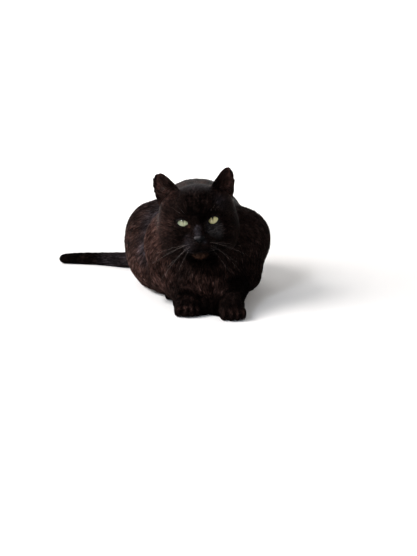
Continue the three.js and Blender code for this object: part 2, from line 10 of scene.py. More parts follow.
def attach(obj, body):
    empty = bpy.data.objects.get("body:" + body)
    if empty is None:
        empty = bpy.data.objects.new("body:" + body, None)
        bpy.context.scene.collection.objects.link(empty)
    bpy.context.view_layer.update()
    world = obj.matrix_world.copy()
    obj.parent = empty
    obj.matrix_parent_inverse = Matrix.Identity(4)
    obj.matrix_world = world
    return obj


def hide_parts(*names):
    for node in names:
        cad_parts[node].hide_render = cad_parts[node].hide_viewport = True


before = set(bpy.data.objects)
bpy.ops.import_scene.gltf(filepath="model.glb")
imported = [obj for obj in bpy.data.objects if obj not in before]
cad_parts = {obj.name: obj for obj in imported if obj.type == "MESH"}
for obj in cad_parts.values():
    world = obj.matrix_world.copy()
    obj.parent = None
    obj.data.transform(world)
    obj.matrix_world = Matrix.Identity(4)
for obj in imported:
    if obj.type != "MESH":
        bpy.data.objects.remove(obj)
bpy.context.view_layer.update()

# ---- sizes, in millimetres
MM = 0.001
VOXEL = 1.2  # the skin's grid before it is thinned
SKIN_FACES = 186000  # triangles left in the skin
SEAM_FILL = 0.3  # the nodes are grown by this before they are joined, so that no seam is left
FLOOR_GAP = 0.3  # the lowest that a hair lies above the floor
ROOT_DEPTH = 0.3  # how far a hair's root is sunk in the skin
FACE_LOCK = 2.6  # breadth of the locks on the face and the ears
BODY_LOCK = 3.8
FIRST_SEED = 11  # of the coat's random draws; each piece has the next one

SIDES = (("left", 1), ("right", -1))  # the cat's own sides, and their signs along X
SKULL = ("head", "nose", "eye_left", "eye_right")
FACE = (*SKULL, "lower_jaw")
WHOLE_HEAD = (*FACE, "ear_left", "ear_right")
CROWN_Y = 24  # the crown's coat starts this far behind the eyes

HEAD_AT = Vector((-15.4, -120.2, 119.5))  # midway between the eyes
HEAD_TURN = (-7, -13, -5)  # degrees about Z, X and Y
EYE_X = 20  # from the head's middle plane to the middle of an eye opening
EYEBALL = 10.5  # radius
EYEBALL_AT = (19.4, 9.3, 0.8)
IRIS_RADIUS = 8.3
EYE_PLAN = 24  # width of the iris's own flat map
UNDER_CORNEA = 0.995  # the ball is drawn in to this share, under the cornea
IRIS_FACE = [(0, 6.6), (1.2, 6.65), (3, 6.6), (5, 6.45), (7, 6.2), (IRIS_RADIUS, 6.0)]  # radius, forward
CORNEA_BACK = [(IRIS_RADIUS, 5.4), (5, 5.6), (0, 5.7)]
IRIS_COLOURS = {"left": ("#c5bf85", "#d8ca91"), "right": ("#9da583", "#b7b892")}  # outer and inner
LID_LINE = {"width": 14.4, "above": 4.1, "below": 5.0, "slant": 0.17}
LIDS_OPEN = {"left": (0.92, 0.95), "right": (1.0, 0.74)}  # share of the width, and of the height above
LID_REACH = 2.9  # how far the lids' bare skin runs out from the opening, under the coat
# The lids' section: out from the edge of the opening, and up from the eyeball.
LID_SECTION = [
    (0.9, -0.9), (0.1, -0.35), (0.0, 0.15), (0.25, 0.6), (0.8, 0.8), (1.5, 0.75),
    (2.2, 0.5), (LID_REACH, 0.1), (LID_REACH, -0.8), (2.0, -1.0),
]
SKIN_OPENING = 1.14  # the hole in the skin behind the lids, as a share of the opening between them
EYE_PIT = (4.2, 0.55)  # the skin's place ahead of the eyeball's middle, and the flat share of the hole
BARE_OVAL = (8.7, 5.2)  # half width and half height of the oval about each eye where no hair is rooted
NOSE_TIP = (0, -27, -25.5)
NOSE_VOXEL = 0.4  # the grid that rounds the nose leather
UNDER_LEATHER = 4.5  # how far behind the nose's tip the skin stays
# From under the nose to the left corner of the mouth: x and z in the head's frame.
LIP_LINE = [(0, -31.5), (0, -38.5), (5, -40), (9, -40.5), (14, -39.6), (20, -38)]
LIP_GROOVE = (1.4, 1.2)  # depth, and half width
EAR_OPEN = (0.55, -0.83, 0.1)  # which way the cup of the left ear faces, in the head's frame
EAR_LIE = ((14, -8, 42), (34, -20, 22))  # the left ear's hair: up its back to the tip, and into its cup

# Coat by node: how far the hair stands above the skin, its length, its width and how many to a
# square millimetre. The face's own lengths grow with the distance from the nose.
COAT = {
    "head": (1.7, 7, 0.6, 2.6),
    "lower_jaw": (1.4, 5, 0.55, 2.6),
    "ear": (0.5, 5, 0.5, 2.6),
    "neck": (3.4, 11, 0.85, 1.3),
    "chest": (3.8, 13, 0.9, 1.3),
    "belly": (3.6, 12, 0.9, 1.1),
    "rump": (3.6, 12, 0.9, 1.1),
    "foreleg_upper": (3, 10, 0.8, 1.3),
    "foreleg_lower": (2.1, 7.5, 0.7, 1.6),
    "forepaw": (0.8, 3.4, 0.5, 3.2),
    "thigh": (3.4, 11, 0.9, 1.2),
    "hind_foot": (1.2, 5, 0.65, 1.7),
    "tail": (2.6, 13, 0.9, 1.4),
}
# On the face: at the nose, what is gained with each millimetre from it, the least and the most.
FACE_LENGTH = (2, 0.085, 2.2, 10)
FACE_WIDTH = (0.33, 0.005, 0.36, 0.75)
FACE_DEPTH = 0.27  # as a share of the length
IN_EAR = (1.0, 8, 0.4, 0.45)  # depth, length, width and share of the growth within the cup of an ear

# Which way the coat lies: each line runs from a point to a point, and the hair within its reach lies
# along it. A line off the middle plane has its twin on the other side.
LIE_LINES = [
    ((-12, -84, 128), (0, -34, 142), 40),
    ((0, -34, 142), (0, 40, 142), 45),
    ((0, 40, 142), (0, 112, 112), 45),
    ((0, 112, 112), (0, 146, 50), 40),
    ((-10, -128, 84), (-6, -140, 14), 34),
    ((34, -104, 96), (44, -112, 30), 26),
    ((48, -70, 122), (76, -44, 44), 30),
    ((74, -30, 108), (88, 40, 62), 30),
    ((62, 20, 118), (92, 56, 36), 34),
    ((50, 96, 92), (62, 116, 20), 34),
    ((58, -66, 34), (30, -150, 15), 20),
    ((78, 20, 22), (44, -74, 8), 18),
    ((0, -60, 4), (0, 110, 4), 30),
]
MIDDLE_BAND = 15  # a line that starts nearer to the middle plane than this has no twin
# The tail's middle, from its root to its tip, and how far off it the hair still follows.
TAIL_LINE = [
    (2, 112, 50), (-14, 140, 33), (-50, 149, 19), (-88, 151, 12),
    (-120, 172, 9), (-154, 186, 8), (-188, 194, 7), (-200, 197, 7),
]
TAIL_REACH = 22

# The pieces of the coat, and the nodes that each grows on. Forms within a piece share its map.
COAT_PIECES = {
    "coat_face_left": ["face_left"],
    "coat_face_right": ["face_right"],
    "coat_crown": ["crown", "lower_jaw"],
    "coat_ears": ["ear_left", "ear_right"],
    "coat_neck": ["neck"],
    "coat_chest": ["chest"],
    "coat_barrel": ["belly"],
    "coat_rump": ["rump"],
    "coat_foreleg_left": ["foreleg_upper_left", "foreleg_lower_left", "forepaw_left"],
    "coat_foreleg_right": ["foreleg_upper_right", "foreleg_lower_right", "forepaw_right"],
    "coat_thigh_left": ["thigh_left"],
    "coat_thigh_right": ["thigh_right"],
    "coat_hind_feet": ["hind_foot_left", "hind_foot_right"],
    "coat_tail": ["tail_base", "tail_middle", "tail_tip"],
}
THINNER = 1  # share of the tufts grown

HEAD_FRAME = Matrix.Translation(HEAD_AT)
for degrees, axis in zip(HEAD_TURN, "ZXY"):
    HEAD_FRAME = HEAD_FRAME @ Matrix.Rotation(math.radians(degrees), 4, axis)
HEAD_AXES = np.array(HEAD_FRAME.to_3x3())


# ---- small tools
def colour(hexa):
    """A colour given as sRGB hex, turned linear."""
    parts = [int(hexa[i : i + 2], 16) / 255 for i in (1, 3, 5)]
    return (*[p / 12.92 if p <= 0.04045 else ((p + 0.055) / 1.055) ** 2.4 for p in parts], 1)


MATH = "ShaderNodeMath"
VECTOR = "ShaderNodeVectorMath"
MIX = "ShaderNodeMix"
RANGE = "ShaderNodeMapRange"
BUMP = "ShaderNodeBump"
NOISE = "ShaderNodeTexNoise"
CELLS = "ShaderNodeTexVoronoi"
SPLIT = "ShaderNodeSeparateXYZ"
JOIN = "ShaderNodeCombineXYZ"
PLACE = "ShaderNodeTexCoord"
CARRIED = "ShaderNodeAttribute"
RANDOM = "FunctionNodeRandomValue"
STORED = "GeometryNodeInputNamedAttribute"
STORE = "GeometryNodeStoreNamedAttribute"


def add(tree, kind, inputs=(), out=0, **settings):
    """A node with its settings and links, given back as one of its outputs, or as all of them if `out`
    is None. Its inputs are listed in order, or named or numbered, each with a socket or a value."""
    made = tree.nodes.new(kind)
    for name, value in settings.items():
        setattr(made, name, value)
    for key, value in inputs.items() if isinstance(inputs, dict) else enumerate(inputs):
        if isinstance(value, bpy.types.NodeSocket):
            tree.links.new(value, made.inputs[key])
        else:
            made.inputs[key].default_value = value
    return made.outputs if out is None else made.outputs[out]


def on_head(point):
    """A point of the head's frame in millimetres, in the shared frame in metres."""
    return HEAD_FRAME @ Vector(point) * MM


def in_head(points):
    """Points in metres, in the head's frame in millimetres."""
    return (points / MM - np.array(HEAD_AT)) @ HEAD_AXES


def ease(value, low, high):
    """0 below low and 1 above high, with a smooth step between."""
    t = np.clip((value - low) / (high - low), 0, 1)
    return t * t * (3 - 2 * t)


def unit(vectors):
    return vectors / np.maximum(np.linalg.norm(vectors, axis=1, keepdims=True), 1e-9)


def numbers(items, key, width, kind=np.float32):
    """A property of every item of a mesh, as an array."""
    out = np.zeros(len(items) * width, kind)
    items.foreach_get(key, out)
    return out.reshape(-1, width)


def put_field(mesh, name, values):
    """Stores a number or a vector for each point of a mesh."""
    values = np.array(values, np.float32)
    kind, key = ("FLOAT_VECTOR", "vector") if values.shape[1] == 3 else ("FLOAT", "value")
    mesh.attributes.new(name, kind, "POINT").data.foreach_set(key, values.ravel())


def is_of(label, names, wanted):
    """Which points belong to one of the wanted nodes."""
    return np.isin(label, [names.index(n) for n in wanted])


def placed(name, data):
    """A new object in the scene."""
    piece = bpy.data.objects.new(name, data)
    bpy.context.scene.collection.objects.link(piece)
    return piece


def shown(name, mesh, finish):
    """An object for a finished mesh, smooth, with its material."""
    mesh.materials.clear()
    mesh.materials.append(finish)
    mesh.polygons.foreach_set("use_smooth", [True] * len(mesh.polygons))
    return placed(name, mesh)


def finished(piece):
    """The piece's mesh with its modifiers applied."""
    scene_now = bpy.context.evaluated_depsgraph_get()
    made = bpy.data.meshes.new_from_object(piece.evaluated_get(scene_now))
    piece.modifiers.clear()
    return made


def remesh(piece, voxel):
    """Makes the piece one closed surface on a grid of cubes."""
    grid = piece.modifiers.new("grid", "REMESH")
    grid.mode = "VOXEL"
    grid.voxel_size = voxel * MM


def merged(name):
    """A working copy of a node, with its loose triangles merged."""
    work = bmesh.new()
    work.from_mesh(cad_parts[name].data)
    bmesh.ops.remove_doubles(work, verts=work.verts, dist=1e-6)
    return work


def mesh_from(work, name):
    """A working mesh turned into a plain one, and freed."""
    mesh = bpy.data.meshes.new(name)
    work.to_mesh(mesh)
    work.free()
    return mesh


def mesh_of(name, points, faces):
    mesh = bpy.data.meshes.new(name)
    mesh.from_pydata([tuple(p) for p in points], [], [tuple(f) for f in faces])
    mesh.update()
    return mesh


def face_out(mesh):
    """Turns every face of a closed mesh outward."""
    work = bmesh.new()
    work.from_mesh(mesh)
    bmesh.ops.recalc_face_normals(work, faces=work.faces)
    work.to_mesh(mesh)
    work.free()
    return mesh


def relaxed(values, edges, share, rounds):
    """Values drawn toward the mean of their neighbours, by a share that may differ at each."""
    count = np.bincount(edges.ravel(), minlength=len(values))[:, None]
    ends = np.concatenate([edges[:, 0], edges[:, 1]])
    others = np.concatenate([edges[:, 1], edges[:, 0]])
    for _ in range(rounds):
        sums = [np.bincount(ends, column[others], len(values)) for column in values.T]
        values = values + share * (np.stack(sums, 1) / count - values)
    return values


def distance_to_line(points, start, end):
    along = np.array(end, float) - start
    t = np.clip(((points - start) @ along) / (along @ along), 0, 1)
    return np.linalg.norm(points - start - t[:, None] * along, axis=1)


def lid_line(sign, share=1.0, steps=14):
    """The eye opening's outline in the head's frame, as x and z: the upper lid and back under the lower."""
    w = LID_LINE["width"] * share
    above = LID_LINE["above"] * share
    below = LID_LINE["below"] * share
    drop = LID_LINE["slant"] * w / 2
    upper = [(-w / 2, -drop), (-w / 4, above * 1.25), (w / 4, above * 1.35), (w / 2, drop)]
    lower = [(w / 2, drop), (w / 3, -below * 1.3), (-w / 3, -below * 1.4), (-w / 2, -drop)]
    out = []
    for curve in (upper, lower):
        for i in range(steps):
            t = i / steps
            weights = ((1 - t) ** 3, 3 * t * (1 - t) ** 2, 3 * t * t * (1 - t), t**3)
            x = sum(k * p[0] for k, p in zip(weights, curve))
            z = sum(k * p[1] for k, p in zip(weights, curve))
            out.append((sign * (EYE_X + x), z))
    return np.array(out)


# ---- skin
def joined_nodes():
    """Every node in one mesh, each grown a little, with the node of each face."""
    joined = bmesh.new()
    owner = []
    names = sorted(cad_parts)
    for number, name in enumerate(names):
        piece = merged(name)
        piece.normal_update()
        for vert in piece.verts:
            vert.co += vert.normal * SEAM_FILL * MM
        grown = mesh_from(piece, name + "_grown")
        owner += [number] * len(grown.polygons)
        joined.from_mesh(grown)
        bpy.data.meshes.remove(grown)
    return mesh_from(joined, "joined"), np.array(owner), names


def largest_body(mesh):
    """Drops the scraps that the grid leaves inside, so that one closed surface is left."""
    work = bmesh.new()
    work.from_mesh(mesh)
    left = set(work.verts)
    bodies = []
    while left:
        body = {left.pop()}
        front = list(body)
        while front:
            for edge in front.pop().link_edges:
                for vert in edge.verts:
                    if vert not in body:
                        body.add(vert)
                        front.append(vert)
        left -= body
        bodies.append(body)
    bodies.sort(key=len)
    bmesh.ops.delete(work, geom=[v for body in bodies[:-1] for v in body], context="VERTS")
    bmesh.ops.triangulate(work, faces=work.faces)
    work.to_mesh(mesh)
    work.free()


def skin_blank():
    """One closed mesh over all the nodes, and for each of its points the node that it belongs to."""
    joined, owner, names = joined_nodes()
    blank = placed("blank", joined)
    remesh(blank, VOXEL)
    mesh = finished(blank)
    largest_body(mesh)
    blank.data = mesh
    thinner = blank.modifiers.new("thinner", "DECIMATE")
    thinner.ratio = SKIN_FACES / len(mesh.polygons)
    mesh = finished(blank)
    bpy.data.objects.remove(blank)
    nearest = BVHTree.FromPolygons(
        [v.co[:] for v in joined.vertices], [p.vertices[:] for p in joined.polygons]
    )
    label = np.array([owner[nearest.find_nearest(v.co)[2]] for v in mesh.vertices])
    return mesh, label, names


def coat_numbers(label, names, local):
    """Depth, length, width and density of the coat at each point, in millimetres."""
    rows = [COAT[next((k for k in COAT if name.startswith(k)), "head")] for name in names]
    values = np.array(rows, float)[label]
    on_face = is_of(label, names, SKULL)
    reach = np.linalg.norm(local[on_face] - NOSE_TIP, axis=1)
    for column, (at_nose, gain, least, most) in ((1, FACE_LENGTH), (2, FACE_WIDTH)):
        values[on_face, column] = np.clip(at_nose + gain * reach, least, most)
    values[on_face, 0] = FACE_DEPTH * values[on_face, 1]
    return values


def lie_of_coat(points, local, label, names, inside):
    """The direction in which the hair lies at each point, as unit vectors before they are laid flat."""
    at = points / MM
    lines = []
    for start, end, reach in LIE_LINES:
        lines.append((start, end, reach))
        if abs(start[0]) > MIDDLE_BAND:
            lines.append(((-start[0], *start[1:]), (-end[0], *end[1:]), reach))
    lines += [(a, b, TAIL_REACH) for a, b in zip(TAIL_LINE, TAIL_LINE[1:])]
    total = np.zeros_like(at)
    for start, end, reach in lines:
        away = distance_to_line(at, np.array(start, float), end)
        direction = np.array(end, float) - start
        total += (1 / (1 + (away / reach) ** 6))[:, None] * direction / np.linalg.norm(direction)
    lie = unit(total)

    # On the head it spreads from the nose: up the forehead, back over the cheeks and under the chin.
    from_nose = unit(local - NOSE_TIP)
    from_nose[:, 1] += 0.35
    from_nose[:, 2] -= 0.25 * ease(np.abs(local[:, 0]), 20, 45)
    on_face = is_of(label, names, FACE)
    lie[on_face] = unit(from_nose @ HEAD_AXES.T)[on_face]
    for side, sign in SIDES:
        here = label == names.index("ear_" + side)
        toward_tip, into_cup = (np.array((sign * x, y, z), float) for x, y, z in EAR_LIE)
        chosen = toward_tip + inside[here, None] * (into_cup - toward_tip)
        lie[here] = unit(chosen @ HEAD_AXES.T)
    return lie


def inside_ear(local, up_local, label, names):
    """1 inside the cup of an ear, and 0 elsewhere."""
    inside = np.zeros(len(local))
    for side, sign in SIDES:
        facing = up_local @ unit(np.array([[sign * EAR_OPEN[0], EAR_OPEN[1], EAR_OPEN[2]]]))[0]
        here = label == names.index("ear_" + side)
        inside[here] = ease(facing, 0.15, 0.45)[here]
    return inside


def normals_of(mesh, points):
    mesh.vertices.foreach_set("co", points.astype(np.float32).ravel())
    mesh.update()
    return numbers(mesh.vertex_normals, "vector", 3).astype(float)


def open_eyes(local):
    """Inside each eye opening the skin goes straight back, and crosses behind the front of the eyeball."""
    for _, sign in SIDES:
        middle = np.array([sign * EYE_X, 0.0])
        edge = lid_line(sign, SKIN_OPENING) - middle
        away = local[:, [0, 2]] - middle
        angle = np.arctan2(edge[:, 1], edge[:, 0])
        toward = np.arctan2(away[:, 1], away[:, 0])
        order = np.argsort(angle)
        reach = np.interp(toward, angle[order], np.hypot(*edge.T)[order], period=2 * math.pi)
        share = np.hypot(*away.T) / reach
        open_here = (share < 1) & (local[:, 1] < EYEBALL_AT[1])
        local[open_here, 1] = EYEBALL_AT[1] - EYE_PIT[0]
        wall = open_here & (share > EYE_PIT[1])
        local[np.ix_(wall, [0, 2])] = middle + away[wall] / share[wall, None]


def distance_to_lips(local):
    """How far each point of the muzzle's front is from the line of the lips and the groove above it."""
    lips = np.full(len(local), 99.0)
    flat = np.stack([np.abs(local[:, 0]), local[:, 2]], 1)
    for start, end in zip(LIP_LINE, LIP_LINE[1:]):
        lips = np.minimum(lips, distance_to_line(flat, np.array(start, float), end))
    lips[local[:, 1] > 6] = 99
    return lips


def build_skin():
    """The skin: smoothed, drawn in by the depth of the coat, with what the tufts need on its points."""
    mesh, label, names = skin_blank()
    edges = numbers(mesh.edges, "vertices", 2, np.int32)
    points = numbers(mesh.vertices, "co", 3).astype(float)
    local = in_head(points)
    paws = [n for n in names if "paw" in n or "foot" in n]
    fine = relaxed(is_of(label, names, WHOLE_HEAD).astype(float)[:, None], edges, 0.5, 6)
    middling = relaxed(is_of(label, names, paws).astype(float)[:, None], edges, 0.5, 6)
    broad = np.clip(1 - fine - middling, 0, 1)
    rough = points
    points = relaxed(points, edges, 0.5 * broad, 60)
    points = relaxed(points, edges, 0.5 * np.clip(broad + 0.3 * middling, 0, 1), 10)
    points = relaxed(points, edges, np.full_like(broad, 0.5), 3)
    up = normals_of(mesh, points)
    # What the smoothing took off is put back as an even swell.
    lost = ((rough - points) * up).sum(1, keepdims=True)
    points = points + up * relaxed(lost, edges, 0.5, 50)
    up = normals_of(mesh, points)
    values = relaxed(coat_numbers(label, names, local), edges, 0.5, 24)
    points = points - up * (values[:, :1] + SEAM_FILL) * MM

    local = in_head(points)
    open_eyes(local)
    at_nose = (label == names.index("nose")) & (local[:, 1] < NOSE_TIP[1] + 8)
    local[at_nose, 1] = np.maximum(local[at_nose, 1], NOSE_TIP[1] + UNDER_LEATHER)
    lips = distance_to_lips(local)
    local[:, 1] += LIP_GROOVE[0] * np.exp(-((lips / LIP_GROOVE[1]) ** 2))
    points = (local @ HEAD_AXES.T + np.array(HEAD_AT)) * MM
    up = normals_of(mesh, points)
    local = in_head(points)

    inside = inside_ear(local, up @ HEAD_AXES, label, names)
    values[:, :3] += inside[:, None] * (np.array(IN_EAR[:3]) - values[:, :3])
    lie = lie_of_coat(points, local, label, names, inside)
    for _ in range(3):
        lie = unit(relaxed(lie, edges, 0.5, 12))
        lie = unit(lie - up * (lie * up).sum(1, keepdims=True))

    # No hair on the nose leather, about the eyes, on the line of the lips or under the body.
    growth = values[:, 3].copy()
    for _, sign in SIDES:
        eye = local - (sign * EYE_X, 0, 0.1)
        level = eye[:, 2] - sign * LID_LINE["slant"] * eye[:, 0]
        oval = np.hypot(eye[:, 0] / BARE_OVAL[0], level / BARE_OVAL[1])
        growth[(np.abs(eye[:, 1]) < 12) & (oval < 1)] = 0
    growth[label == names.index("nose")] = 0
    growth *= ease(lips, 0.4, 1.5)
    growth *= ease(points[:, 2] / MM, 1.0, 4.0) * 0.999 + 0.001
    growth *= 1 - (1 - IN_EAR[3]) * inside
    fields = {
        "grow_lie": lie,
        "grow_up": up,
        "grow_depth": values[:, :1] * MM,
        "grow_length": values[:, 1:2] * MM,
        "grow_width": values[:, 2:3] * MM,
        "grow_density": growth[:, None],
        "inside_ear": inside[:, None],
    }
    for name, value in fields.items():
        put_field(mesh, name, value)
    return mesh, label, names, local


# ---- markings, painted sheen and painted shade
# Where the black coat has weathered to brown; where painted sheen lies, cool and bright; where it is
# blackest, and where painted shade lies; and where it is tan: round zones, each with its middle, reach and
# strength. Those on the head are in its own frame.
BODY_ZONES = {
    "rust": [
        ((-8, -142, 40), 40, 0.5),
        ((-62, -56, 88), 60, 2.0),
        ((-60, -92, 40), 36, 0.75),
        ((-92, 20, 28), 76, 1.1),
        ((-84, 40, 84), 50, 0.1),
        ((92, 40, 78), 70, 0.3),
        ((0, 150, 60), 60, 0.3),
        ((0, -4, 160), 60, 0.9),
    ],
    # Painted cool sheen on the flanks, the back and the tail.
    "cool_sheen": [
        ((-66, -22, 108), 46, 1.0),
        ((-84, -24, 66), 38, 0.9),
        ((-40, 40, 130), 70, 0.2),
        ((62, -20, 108), 60, 0.3),
        ((50, 60, 124), 70, 0.2),
        ((-110, 146, 14), 50, 0.4),
    ],
    # The blackest coat on the back and the tail, and painted shade under the chin, round the forepaws, and
    # on the cat's left shoulder and foreleg, away from the lamps.
    "blackest_and_shade": [
        ((-10, -136, 70), 34, 1.5),
        ((-4, -148, 12), 27, 1.6),
        ((60, -90, 60), 50, 0.3),
        ((52, -132, 22), 46, 1.4),
        ((-36, -150, 16), 36, 0.55),
        ((24, -176, 16), 34, 0.7),
        ((-160, 184, 10), 90, 1.0),
        ((0, 0, 156), 80, 0.8),
        ((32, -140, 44), 26, 0.6),
    ],
    "tan_and_highlight": [],
    "bright_sheen": [],
}
HEAD_ZONES = {
    "rust": [
        ((-48, 8, 2), 24, 0.3),
        ((-44, 26, 42), 30, 0.4),
        ((44, 26, 42), 30, 0.5),
    ],
    # Painted cool sheen on the bridge of the nose, the whisker pads, the cheeks, the brow and the crown.
    "cool_sheen": [
        ((-2, -17, -11), 8, 0.8),
        ((-2, -24, -18), 7, 1.1),
        ((-14, -18, -31), 14, 0.6),
        ((-17, -9, -16), 9, 0.4),
        ((31, 12, 23), 18, 0.35),
        ((7, -26, -28), 4.5, 0.6),
        ((0, 26, 44), 30, 0.5),
    ],
    # The blackest coat over the head and on the ears, and painted shade under the right eye, beside the
    # nose, in the ears' inner sides and on the cat's left cheek.
    "blackest_and_shade": [
        ((0, 4, 0), 92, 0.62),
        ((0, -4, 10), 19, 0.6),
        ((30, 2, -28), 22, 0.3),
        ((-26, -4, -14), 14, 0.5),
        ((9, -10, -16), 7, 0.5),
        ((-7, -12, -16), 5, 0.3),
        ((-33, 25, 52), 13, 0.8),
        ((30, 27, 46), 14, 0.5),
        ((-50, 39, 36.5), 8, 0.7),
        ((26, 18, 51), 10, 0.9),
    ],
    "tan_and_highlight": [
        ((-7, -16, -45), 7, 0.4),
        ((-1, -17, -47), 8, 0.5),
        ((5, -16, -45.5), 7, 0.4),
        ((-13.5, -4, -6.5), 5, 0.35),
        # A painted highlight on a lit fold of the right ear.
        ((-43.7, 32.2, 46.7), 6, 0.9),
    ],
    # Painted bright sheen beside the nose on the cat's left, and a painted highlight on a fold of its right
    # ear.
    "bright_sheen": [((19, -1, -13), 18, 0.8), ((-43.7, 32.2, 46.7), 5.5, 0.5)],
}
ZONE_CORE = 0.2  # share of a zone's reach that has its full strength
# Folds of bare flesh in the ears, in the head's frame: lit ones add, and the shaded inner sides take away.
EAR_FOLD_LIGHT_AND_SHADE = [
    ((-43.7, 34.7, 46.7), 6, 0.9),
    ((-49, 31, 52), 9, 0.25),
    ((-33, 25, 52), 13, -0.3),
    ((43.8, 35, 46), 8, 0.4),
    ((30, 27, 46), 14, -0.3),
]
# Painted highlight along the upper edge of the nose, in the head's frame, where the leather meets the fur.
NOSE_TOP_HIGHLIGHT = [((-5, -26.5, -21.5), 4.5, 1.0), ((-1.5, -27, -20.8), 4.5, 1.0)]

# Painted shade in the creases: behind the right shoulder, and under the ruff above the paws.
SHADED_CREASES = [
    ((-72, -86, 52), (-49, -120, 30)),
    ((-42, -136, 31), (-10, -143, 23)),
    ((-10, -143, 23), (16, -156, 27)),
    ((16, -156, 27), (50, -113, 40)),
]
for start, end in SHADED_CREASES:
    for share in (0.125, 0.375, 0.625, 0.875):
        middle = tuple(a + (b - a) * share for a, b in zip(start, end))
        BODY_ZONES["blackest_and_shade"].append((middle, 9, 0.75))
# Ghost stripes, darker than the rest, run up the brow and part a little.
FOREHEAD = ((0, 13, 19), (27, 19, 22))  # middle and radii, in the head's frame
for stripe in (-9.5, -4.5, 0, 4.5, 9.5):
    for rise in range(6):
        x, z = stripe * (1 + 0.05 * rise), 10 + 4.5 * rise
        round_off = 1 - (x / FOREHEAD[1][0]) ** 2 - ((z - FOREHEAD[0][2]) / FOREHEAD[1][2]) ** 2
        y = FOREHEAD[0][1] - FOREHEAD[1][1] * math.sqrt(round_off)
        HEAD_ZONES["blackest_and_shade"].append(((x, y, z), 3.2, 0.8))
# The forepaws: middle and front. Each has four toes, browner on top, with painted shade in the clefts
# between them.
FOREPAWS = [(23.5, -188), (-32.5, -163)]
TOE_PITCH = 8.3
for paw_x, front in FOREPAWS:
    BODY_ZONES["blackest_and_shade"] += [((paw_x + k * TOE_PITCH, front + 5, 10), 5, 1.0) for k in (-1, 0, 1)]
    BODY_ZONES["rust"] += [((paw_x + k * TOE_PITCH, front + 4, 13), 7, 0.8) for k in (-1.5, -0.5, 0.5, 1.5)]


def from_head(zones):
    """Zones in the head's frame, in the shared frame."""
    return [(tuple(HEAD_FRAME @ Vector(centre)), reach, strength) for centre, reach, strength in zones]


def zone_sum(tree, place, zones):
    """The summed strength of round zones, each fading out from its middle."""
    total = 0.0
    for centre, reach, strength in zones:
        away = add(tree, VECTOR, (place, tuple(c * MM for c in centre)), "Value", operation="DISTANCE")
        fade = (away, reach * MM, reach * ZONE_CORE * MM, 0.0, strength)
        part = add(tree, RANGE, fade, interpolation_type="SMOOTHSTEP")
        total = add(tree, MATH, (total, part), operation="ADD")
    return total


# Dark and light end of each tone. The grey and the bright sheen are colours of painted sheen; the tan also
# gives a painted highlight in an ear.
COAT_TONES = {
    "black": ("#060404", "#352824"),
    "brown": ("#160d0b", "#87635a"),
    "grey": ("#131112", "#5e565c"),
    "tan_and_highlight": ("#1c110c", "#7d5a49"),
    "bright_sheen": ("#1b1819", "#7f7977"),
}
RUST_ALL_OVER = 0.06  # the share of brown in the whole coat
BLACKEST_AND_SHADE_LEFT = 0.15  # what is left of the colour where the coat is blackest, and in the deepest painted shade


def markings_and_light_group():
    """The coat's colour, from the place on the body and each tuft's own tone, with painted sheen and
    painted shade laid on by place.
    """
    group = bpy.data.node_groups.new("cat_markings_and_painted_light", "ShaderNodeTree")
    group.interface.new_socket("Tone", in_out="INPUT", socket_type="NodeSocketFloat")
    group.interface.new_socket("Colour", in_out="OUTPUT", socket_type="NodeSocketColor")
    tone = add(group, "NodeGroupInput", out="Tone")
    place = add(group, PLACE, out="Object")
    # Broken up in patches about 12 mm across, so that no zone has a plain edge.
    broken = add(group, NOISE, {"Vector": place, "Scale": 85.0, "Detail": 3.0})
    patchy = add(group, RANGE, (broken, 0.3, 0.7, 0.6, 1.4))
    share = {}
    for name, zones in BODY_ZONES.items():
        strength = zone_sum(group, place, zones + from_head(HEAD_ZONES[name]))
        raised = add(group, MATH, (strength, RUST_ALL_OVER if name == "rust" else 0.0), operation="ADD")
        share[name] = add(group, MATH, (raised, patchy), operation="MULTIPLY", use_clamp=True)
    # The coat's broad waves, about 9 mm across, are lighter on their crests.
    wave = add(group, NOISE, {"Vector": place, "Scale": 110.0, "Detail": 2.0})
    wave = add(group, RANGE, (wave, 0.3, 0.7, 0.6, 1.35))
    # A few tufts are much lighter than the rest, so the tone is bent toward the dark end.
    bent = add(group, MATH, (tone, 2.5), operation="POWER", use_clamp=True)
    bent = add(group, MATH, (bent, wave), operation="MULTIPLY")
    hue = {}
    for name, (dark, light) in COAT_TONES.items():
        hue[name] = add(group, MIX, {0: bent, 6: colour(dark), 7: colour(light)}, 2, data_type="RGBA")
    whole = add(group, MIX, {0: share["rust"], 6: hue["black"], 7: hue["brown"]}, 2, data_type="RGBA")
    # Painted shade and the blackest coat darken the colour.
    keep = add(group, RANGE, (share["blackest_and_shade"], 0.0, 1.0, 1.0, BLACKEST_AND_SHADE_LEFT))
    whole = add(group, VECTOR, {0: whole, 3: keep}, operation="SCALE")
    # Painted cool sheen, the tan with its painted highlight, and painted bright sheen are laid over it.
    for name, over in (("cool_sheen", "grey"), ("tan_and_highlight", "tan_and_highlight"), ("bright_sheen", "bright_sheen")):
        whole = add(group, MIX, {0: share[name], 6: whole, 7: hue[over]}, 2, data_type="RGBA")
    add(group, "NodeGroupOutput", {"Colour": whole}, None)
    return group


# ---- finishes
def new_finish(name, looks, *given):
    """A material. Its looks draw the pattern in its tree and give the shader's inputs."""
    made = bpy.data.materials.new(name)
    made.use_nodes = True
    tree = made.node_tree
    tree.nodes.clear()
    shader = add(tree, "ShaderNodeBsdfPrincipled", looks(tree, *given))
    add(tree, "ShaderNodeOutputMaterial", {"Surface": shader}, None)
    return made


PALE_HAIR = (1.75, 2.05, 2.2)  # a pale hair's colour, as a multiple of its neighbours'
PALE_ABOVE = 0.86  # one tuft in seven is pale


